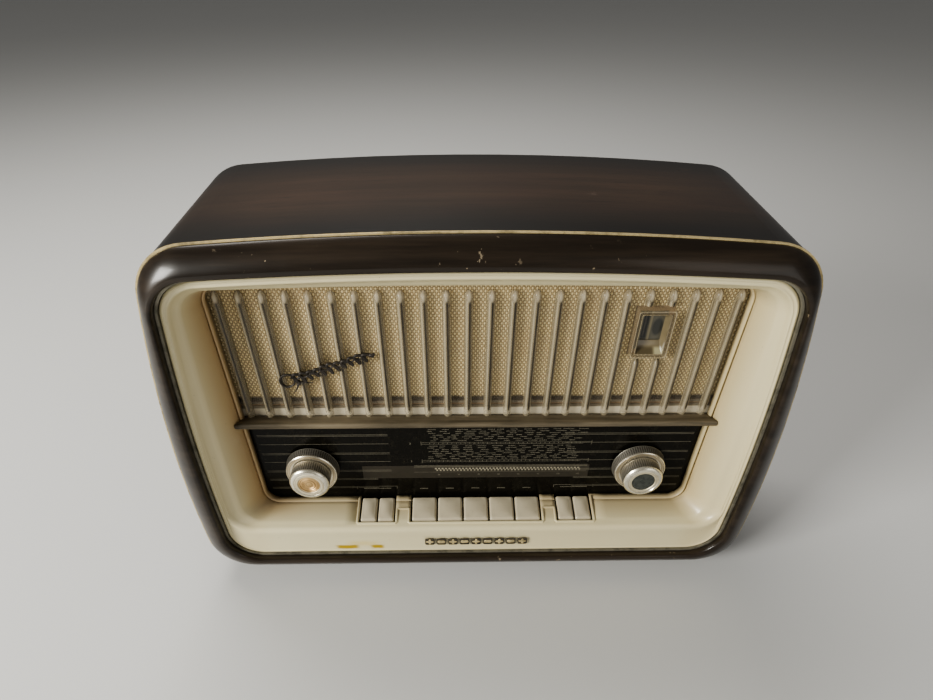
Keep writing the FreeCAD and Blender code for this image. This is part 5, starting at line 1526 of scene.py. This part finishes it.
def make_key(name, finish):
    """One key: its cap, the flat stem under the dial and the eye round the pivot pin."""
    low, high = edges_of(name)
    cap_back = low[1] + 27 * MM
    middle = (low[0] + high[0]) / 2
    patches = Patches()
    key_cap(patches, low, np.array([high[0], cap_back, high[2]]), 4 * MM)
    stem = np.array([8 * MM, 0, 3 * MM])
    pivot = high[1] - 3.5 * MM
    foot = np.array([middle - stem[0] / 2, cap_back - 1 * MM, low[2] + 0.5 * MM])
    block(patches, foot, np.array([middle + stem[0] / 2, pivot, foot[2] + stem[2]]), 0.4 * MM)
    ring = [(1.55, -4), (3.5, -4), (3.5, 4), (1.55, 4), (1.55, -4)]
    angle = np.linspace(0, 2 * math.pi, 20, endpoint=False)
    profile = np.array(ring) * MM
    eye = np.stack([np.broadcast_to(middle + profile[:, 1:], (5, 20)),
                    pivot + profile[:, :1] * np.cos(angle),
                    low[2] + 2 * MM + profile[:, :1] * np.sin(angle)], -1)
    patches.grid(eye, around=True, shell=True)
    patches.piece(name + "_cap", finish, name, "key_plastic", [name], sharp=40)


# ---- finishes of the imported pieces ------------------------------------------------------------

def coat(node, material):
    """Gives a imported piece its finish."""
    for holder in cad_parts[node].material_slots:
        holder.material = material


def coat_all(finishes):
    """Gives each node named in a table its finish."""
    for node, material in finishes.items():
        coat(node, material)


def coat_cabinet():
    """Lacquered cabinet, its lines, plinth and feet."""
    s = sizes("radio_cabinet")
    coat_all({
        "cabinet_wrap": veneer("cabinet_veneer", tuple(s.veneer), tuple(s.burst), 0.30),
        "front_frame": nose_lacquer("frame_wood", tuple(s.nose)),
        "outer_gold_trim": thin_metal("gold_line", tuple(s.gold), 0.30),
        "inner_trim": thin_metal("pewter_line", tuple(s.pewter), 0.36),
        "plinth": nose_lacquer("plinth_lacquer", (0.012, 0.008, 0.006)),
        "feet": moulded("foot_rubber", (0.020, 0.019, 0.018), (0.045, 0.042, 0.040), 0.75, 0, 90),
    })


def coat_front():
    """Board behind the front, pale strip, reflector, lamps, rail and pointer."""
    steel = turned_metal("rail_steel", (0.55, 0.55, 0.54), (0.22, 0.20, 0.18), 0.3)
    coat_all({
        "grille_foot_strip": strip_paint("strip_paint"),
        "baffle_board": bare_wood("board_ply"),
        "dial_reflector": moulded("reflector_paint", (0.70, 0.67, 0.58), (0.55, 0.52, 0.44), 0.5),
        "dial_lamps": valve_glass("lamp_glass"),
        "pointer_rail": steel,
        "dial_pointer": moulded("pointer_red", (0.62, 0.05, 0.02), (0.48, 0.04, 0.02), 0.35),
        "brackets": thin_metal("bracket_zinc", (0.52, 0.51, 0.47), 0.40),
    })


def coat_controls():
    """Shafts of the four controls, their bodies and the key rack."""
    shaft = turned_metal("shaft_steel", (0.60, 0.60, 0.58), (0.25, 0.23, 0.20), 0.25)
    coat_all({name: shaft for name in ("tone_shaft", "volume_shaft", "aerial_shaft",
                                       "tuning_shaft")})
    coat_all({
        "controls": moulded("control_body", (0.10, 0.055, 0.030), (0.15, 0.085, 0.045), 0.35, 0.3),
        "key_rack": thin_metal("rack_zinc", (0.50, 0.50, 0.47), 0.42),
    })


def coat_chassis():
    """Chassis with its transformers, valves, cans and tuning capacitor."""
    plate = thin_metal("chassis_cadmium", (0.46, 0.45, 0.38), 0.45)
    coat_all({
        "chassis": plate,
        "mains_transformer": moulded("mains_laminations", (0.055, 0.050, 0.046), (0.12, 0.095, 0.07),
                                     0.5, 0.1, 120),
        "output_transformer": moulded("output_laminations", (0.06, 0.055, 0.05), (0.13, 0.10, 0.075),
                                      0.5, 0.1, 120),
        "valves": valve_glass("valve_glass"),
        "cans": thin_metal("can_aluminium", (0.66, 0.66, 0.65), 0.38),
        "tuner_frame": thin_metal("tuner_frame_zinc", (0.52, 0.51, 0.48), 0.40),
        "tuner_rotor": thin_metal("tuner_plates", (0.68, 0.67, 0.64), 0.32),
        "cord_drum": moulded("drum_bakelite", (0.16, 0.10, 0.06), (0.22, 0.14, 0.085), 0.45, 0.2),
    })


def coat_speaker():
    """Loudspeaker, tuning-eye valve and ferrite aerial."""
    coat_all({
        "speaker_basket": moulded("basket_paint", (0.12, 0.12, 0.115), (0.18, 0.175, 0.165), 0.4, 0.2),
        "speaker_cone": paper("cone_paper"),
        "speaker_magnet": thin_metal("magnet_zinc", (0.50, 0.48, 0.42), 0.42),
        "eye_tube": valve_glass("eye_valve_glass"),
        "aerial_bracket": moulded("aerial_bracket", (0.30, 0.25, 0.17), (0.38, 0.32, 0.22), 0.5),
        "ferrite_rod": moulded("ferrite", (0.045, 0.043, 0.042), (0.085, 0.080, 0.077), 0.55, 0, 200),
    })


def coat_back():
    """Back cover, its screws, socket plate and grommet."""
    coat_all({
        "back_cover": pressed_board("back_board"),
        "back_screws": thin_metal("screw_steel", (0.50, 0.47, 0.40), 0.35),
        "cord_grommet": moulded("grommet_rubber", (0.022, 0.020, 0.019), (0.05, 0.046, 0.042), 0.7, 0,
                                200),
        "socket_plate": moulded("socket_bakelite", (0.095, 0.048, 0.026), (0.145, 0.075, 0.040),
                                0.30, 0.4, 60),
    })


def strip_paint(name):
    """Pale strip under the cloth, whose upper part is a grey selvedge."""
    t = Finish(name)
    fleck = t.noise(1, 4, 0.6, (60, 300, 300))
    pale = t.mix(fleck, (0.80, 0.71, 0.53), (0.93, 0.84, 0.65))
    grey = t.mix(fleck, (0.17, 0.135, 0.085), (0.30, 0.25, 0.17))
    edge = t.z.rise(SELVEDGE - 0.3 * MM, SELVEDGE + 0.7 * MM)
    return t.done(Base_Color=t.mix(edge, pale, grey), Roughness=0.42 + fleck * 0.2,
                  Normal=t.bump(fleck, 0.05 * MM, 0.5))


def paper(name):
    """Grey-brown pulp paper of the cone, with loose fibres."""
    t = Finish(name)
    pulp = t.noise(260, 5, 0.7)
    fibres = t.noise(1, 3, 0.6, (90, 90, 900))
    shade = t.mix(pulp, (0.05, 0.045, 0.038), (0.11, 0.098, 0.082))
    return t.done(Base_Color=t.mix(fibres.rise(0.62, 0.75) * 0.4, shade, (0.20, 0.18, 0.15)),
                  Roughness=0.75 + pulp * 0.2, Normal=t.bump(pulp, 0.2 * MM, 0.6))


# ---- stage --------------------------------------------------------------------------------------

def make_floor(shade):
    """Plain pale floor, a flat square."""
    patches = Patches()
    run = np.linspace(-30, 30, 5)
    grid = np.stack(np.broadcast_arrays(run[None, :], run[:, None], 0.0), -1)
    patches.grid(grid)
    points = np.concatenate(patches.points)
    mesh = bpy.data.meshes.new("floor")
    mesh.from_pydata(points.tolist(), [], np.concatenate(patches.faces).tolist())
    floor = bpy.data.objects.new("floor", mesh)
    bpy.context.scene.collection.objects.link(floor)
    t = Finish("floor")
    cloud = t.noise(3, 2)
    mesh.materials.append(t.done(Base_Color=t.mix(cloud * 0.15, shade, tuple(c * 0.9 for c in shade)),
                                 Roughness=0.75 + cloud * 0.1))


def soft_light(name, at, towards, size, power, tint=(1, 1, 1)):
    """Rectangular soft light at a point, turned towards another."""
    lamp = bpy.data.lights.new(name, "AREA")
    lamp.shape = "RECTANGLE"
    lamp.size, lamp.size_y = size
    lamp.energy = power
    lamp.color = tint
    holder = bpy.data.objects.new(name, lamp)
    bpy.context.scene.collection.objects.link(holder)
    direction = Vector(towards) - Vector(at)
    turn = direction.to_track_quat("-Z", "Y").to_matrix().to_4x4()
    holder.matrix_world = Matrix.Translation(at) @ turn


def set_camera(s):
    """Camera at its eye, pitched down, turned and rolled; a small upward shift."""
    view = bpy.data.cameras.new("camera")
    view.sensor_width = 36
    view.lens = s.lens
    view.shift_y = s.shift
    camera = bpy.data.objects.new("camera", view)
    bpy.context.scene.collection.objects.link(camera)
    level = math.cos(s.pitch)
    ahead = Vector((math.sin(-s.yaw) * level, math.cos(s.yaw) * level, -math.sin(s.pitch)))
    right = ahead.cross(Vector((0, 0, 1))).normalized()
    over = right.cross(ahead)
    across = right * math.cos(s.roll) + over * math.sin(s.roll)
    up = over * math.cos(s.roll) - right * math.sin(s.roll)
    turn = Matrix((across, up, -ahead)).transposed().to_4x4()
    camera.matrix_world = Matrix.Translation(Vector(s.eye)) @ turn
    bpy.context.scene.camera = camera


def make_stage():
    """Floor, soft studio lights, pale surroundings and the camera."""
    s = sizes("radio_stage")
    make_floor(tuple(s.floor))
    world = bpy.data.worlds.new("studio")
    world.use_nodes = True
    background = world.node_tree.nodes["Background"]
    background.inputs["Color"].default_value = (1.0, 0.985, 0.95, 1)
    background.inputs["Strength"].default_value = 0.16
    bpy.context.scene.world = world
    bpy.context.scene.view_settings.look = "AgX - Medium High Contrast"
    soft_light("key", (-1.75, -1.25, 1.0), (0, 0, 0.15), (0.8, 0.7), 64, (1.0, 0.985, 0.93))
    soft_light("fill", (1.3, -1.7, 0.8), (0, 0, 0.15), (1.2, 1.2), 6, (1.0, 0.98, 0.94))
    soft_light("top", (-0.45, 0.75, 1.7), (0, 0.05, 0.3), (1.3, 0.6), 20, (1.0, 0.97, 0.92))
    set_camera(s)


# ---- operators ----------------------------------------------------------------------------------

class RADIO_OT_cabinet(bpy.types.Operator):
    """Finish the wooden cabinet, its lines and its feet"""
    bl_idname = "radio.cabinet"
    bl_label = "Cabinet"

    def execute(self, context):
        coat_cabinet()
        make_nose()
        return {"FINISHED"}


class RADIO_OT_mask(bpy.types.Operator):
    """Make the ivory mask with its key wells"""
    bl_idname = "radio.mask"
    bl_label = "Ivory mask"

    def execute(self, context):
        make_mask()
        return {"FINISHED"}


class RADIO_OT_grille(bpy.types.Operator):
    """Make the clear panel and its ribs"""
    bl_idname = "radio.grille"
    bl_label = "Ribbed grille"

    def execute(self, context):
        make_grille()
        return {"FINISHED"}


class RADIO_OT_cloth(bpy.types.Operator):
    """Make the woven speaker cloth"""
    bl_idname = "radio.cloth"
    bl_label = "Speaker cloth"

    def execute(self, context):
        make_cloth()
        return {"FINISHED"}


class RADIO_OT_window(bpy.types.Operator):
    """Make the tuning-eye window"""
    bl_idname = "radio.window"
    bl_label = "Eye window"

    def execute(self, context):
        make_window()
        return {"FINISHED"}


class RADIO_OT_bar(bpy.types.Operator):
    """Make the bar between grille and dial"""
    bl_idname = "radio.bar"
    bl_label = "Bar"

    def execute(self, context):
        make_bar()
        return {"FINISHED"}


class RADIO_OT_ornament(bpy.types.Operator):
    """Make the flourish on the ribs and the row of ornaments"""
    bl_idname = "radio.ornament"
    bl_label = "Ornaments"

    def execute(self, context):
        make_emblem()
        make_ornaments()
        return {"FINISHED"}


class RADIO_OT_dial(bpy.types.Operator):
    """Finish the dial glass and print it"""
    bl_idname = "radio.dial"
    bl_label = "Dial"

    def execute(self, context):
        make_dial()
        return {"FINISHED"}


class RADIO_OT_rings(bpy.types.Operator):
    """Make the two outer rings"""
    bl_idname = "radio.rings"
    bl_label = "Outer rings"

    def execute(self, context):
        make_outer_ring("tone_ring", "tone_ring")
        make_outer_ring("aerial_ring", "aerial_ring")
        return {"FINISHED"}


class RADIO_OT_knobs(bpy.types.Operator):
    """Make the two inner knobs and their caps"""
    bl_idname = "radio.knobs"
    bl_label = "Inner knobs"

    def execute(self, context):
        make_inner_knob("volume_knob", "volume_cap", "volume_knob", False)
        make_inner_knob("tuning_knob", "tuning_cap", "tuning_knob", True)
        return {"FINISHED"}


class RADIO_OT_keys(bpy.types.Operator):
    """Make the nine piano keys"""
    bl_idname = "radio.keys"
    bl_label = "Piano keys"

    def execute(self, context):
        finish = key_finish("key_plastic", tuple(sizes("radio_keys").cap))
        for name in [f"wide_key_{k}" for k in range(1, 6)] + [f"narrow_key_{k}" for k in range(1, 5)]:
            make_key(name, finish)
        return {"FINISHED"}


class RADIO_OT_inside(bpy.types.Operator):
    """Finish everything behind the front"""
    bl_idname = "radio.inside"
    bl_label = "Inside"

    def execute(self, context):
        coat_front()
        coat_controls()
        coat_chassis()
        coat_speaker()
        return {"FINISHED"}


class RADIO_OT_back(bpy.types.Operator):
    """Finish the back cover and what is on it"""
    bl_idname = "radio.back"
    bl_label = "Back"

    def execute(self, context):
        coat_back()
        return {"FINISHED"}


class RADIO_OT_stage(bpy.types.Operator):
    """Make the floor, the lights and the camera"""
    bl_idname = "radio.stage"
    bl_label = "Stage"

    def execute(self, context):
        make_stage()
        return {"FINISHED"}


GROUPS = (
    ("radio_cabinet", RadioCabinetLooks, (RADIO_OT_cabinet, RADIO_OT_back, RADIO_OT_inside)),
    ("radio_mask", RadioMaskSizes, (RADIO_OT_mask,)),
    ("radio_grille", RadioGrilleSizes, (RADIO_OT_grille, RADIO_OT_cloth, RADIO_OT_window,
                                        RADIO_OT_bar, RADIO_OT_ornament)),
    ("radio_dial", RadioDialSizes, (RADIO_OT_dial,)),
    ("radio_knobs", RadioKnobSizes, (RADIO_OT_rings, RADIO_OT_knobs)),
    ("radio_keys", RadioKeySizes, (RADIO_OT_keys,)),
    ("radio_stage", RadioStageSizes, (RADIO_OT_stage,)),
)


class RADIO_PT_looks(bpy.types.Panel):
    """Lists the pieces of the radio"""
    bl_idname = "RADIO_PT_looks"
    bl_label = "Valve radio"
    bl_space_type = "VIEW_3D"
    bl_region_type = "UI"
    bl_category = "Radio"

    def draw(self, context):
        for name, group, operators in GROUPS:
            box = self.layout.box()
            for prop in group.__annotations__:
                box.prop(getattr(context.scene, name), prop)
            for operator in operators:
                box.operator(operator.bl_idname)


def register():
    for name, group, operators in GROUPS:
        bpy.utils.register_class(group)
        setattr(bpy.types.Scene, name, bpy.props.PointerProperty(type=group))
        for operator in operators:
            bpy.utils.register_class(operator)
    bpy.utils.register_class(RADIO_PT_looks)


def unregister():
    bpy.utils.unregister_class(RADIO_PT_looks)
    for name, group, operators in reversed(GROUPS):
        for operator in reversed(operators):
            bpy.utils.unregister_class(operator)
        delattr(bpy.types.Scene, name)
        bpy.utils.unregister_class(group)


def main():
    """Makes every piece in order."""
    register()
    bpy.ops.radio.stage()
    bpy.ops.radio.cabinet()
    bpy.ops.radio.mask()
    bpy.ops.radio.grille()
    bpy.ops.radio.cloth()
    bpy.ops.radio.window()
    bpy.ops.radio.bar()
    bpy.ops.radio.ornament()
    bpy.ops.radio.dial()
    bpy.ops.radio.rings()
    bpy.ops.radio.knobs()
    bpy.ops.radio.keys()
    bpy.ops.radio.inside()
    bpy.ops.radio.back()


if __name__ == "__main__":
    main()
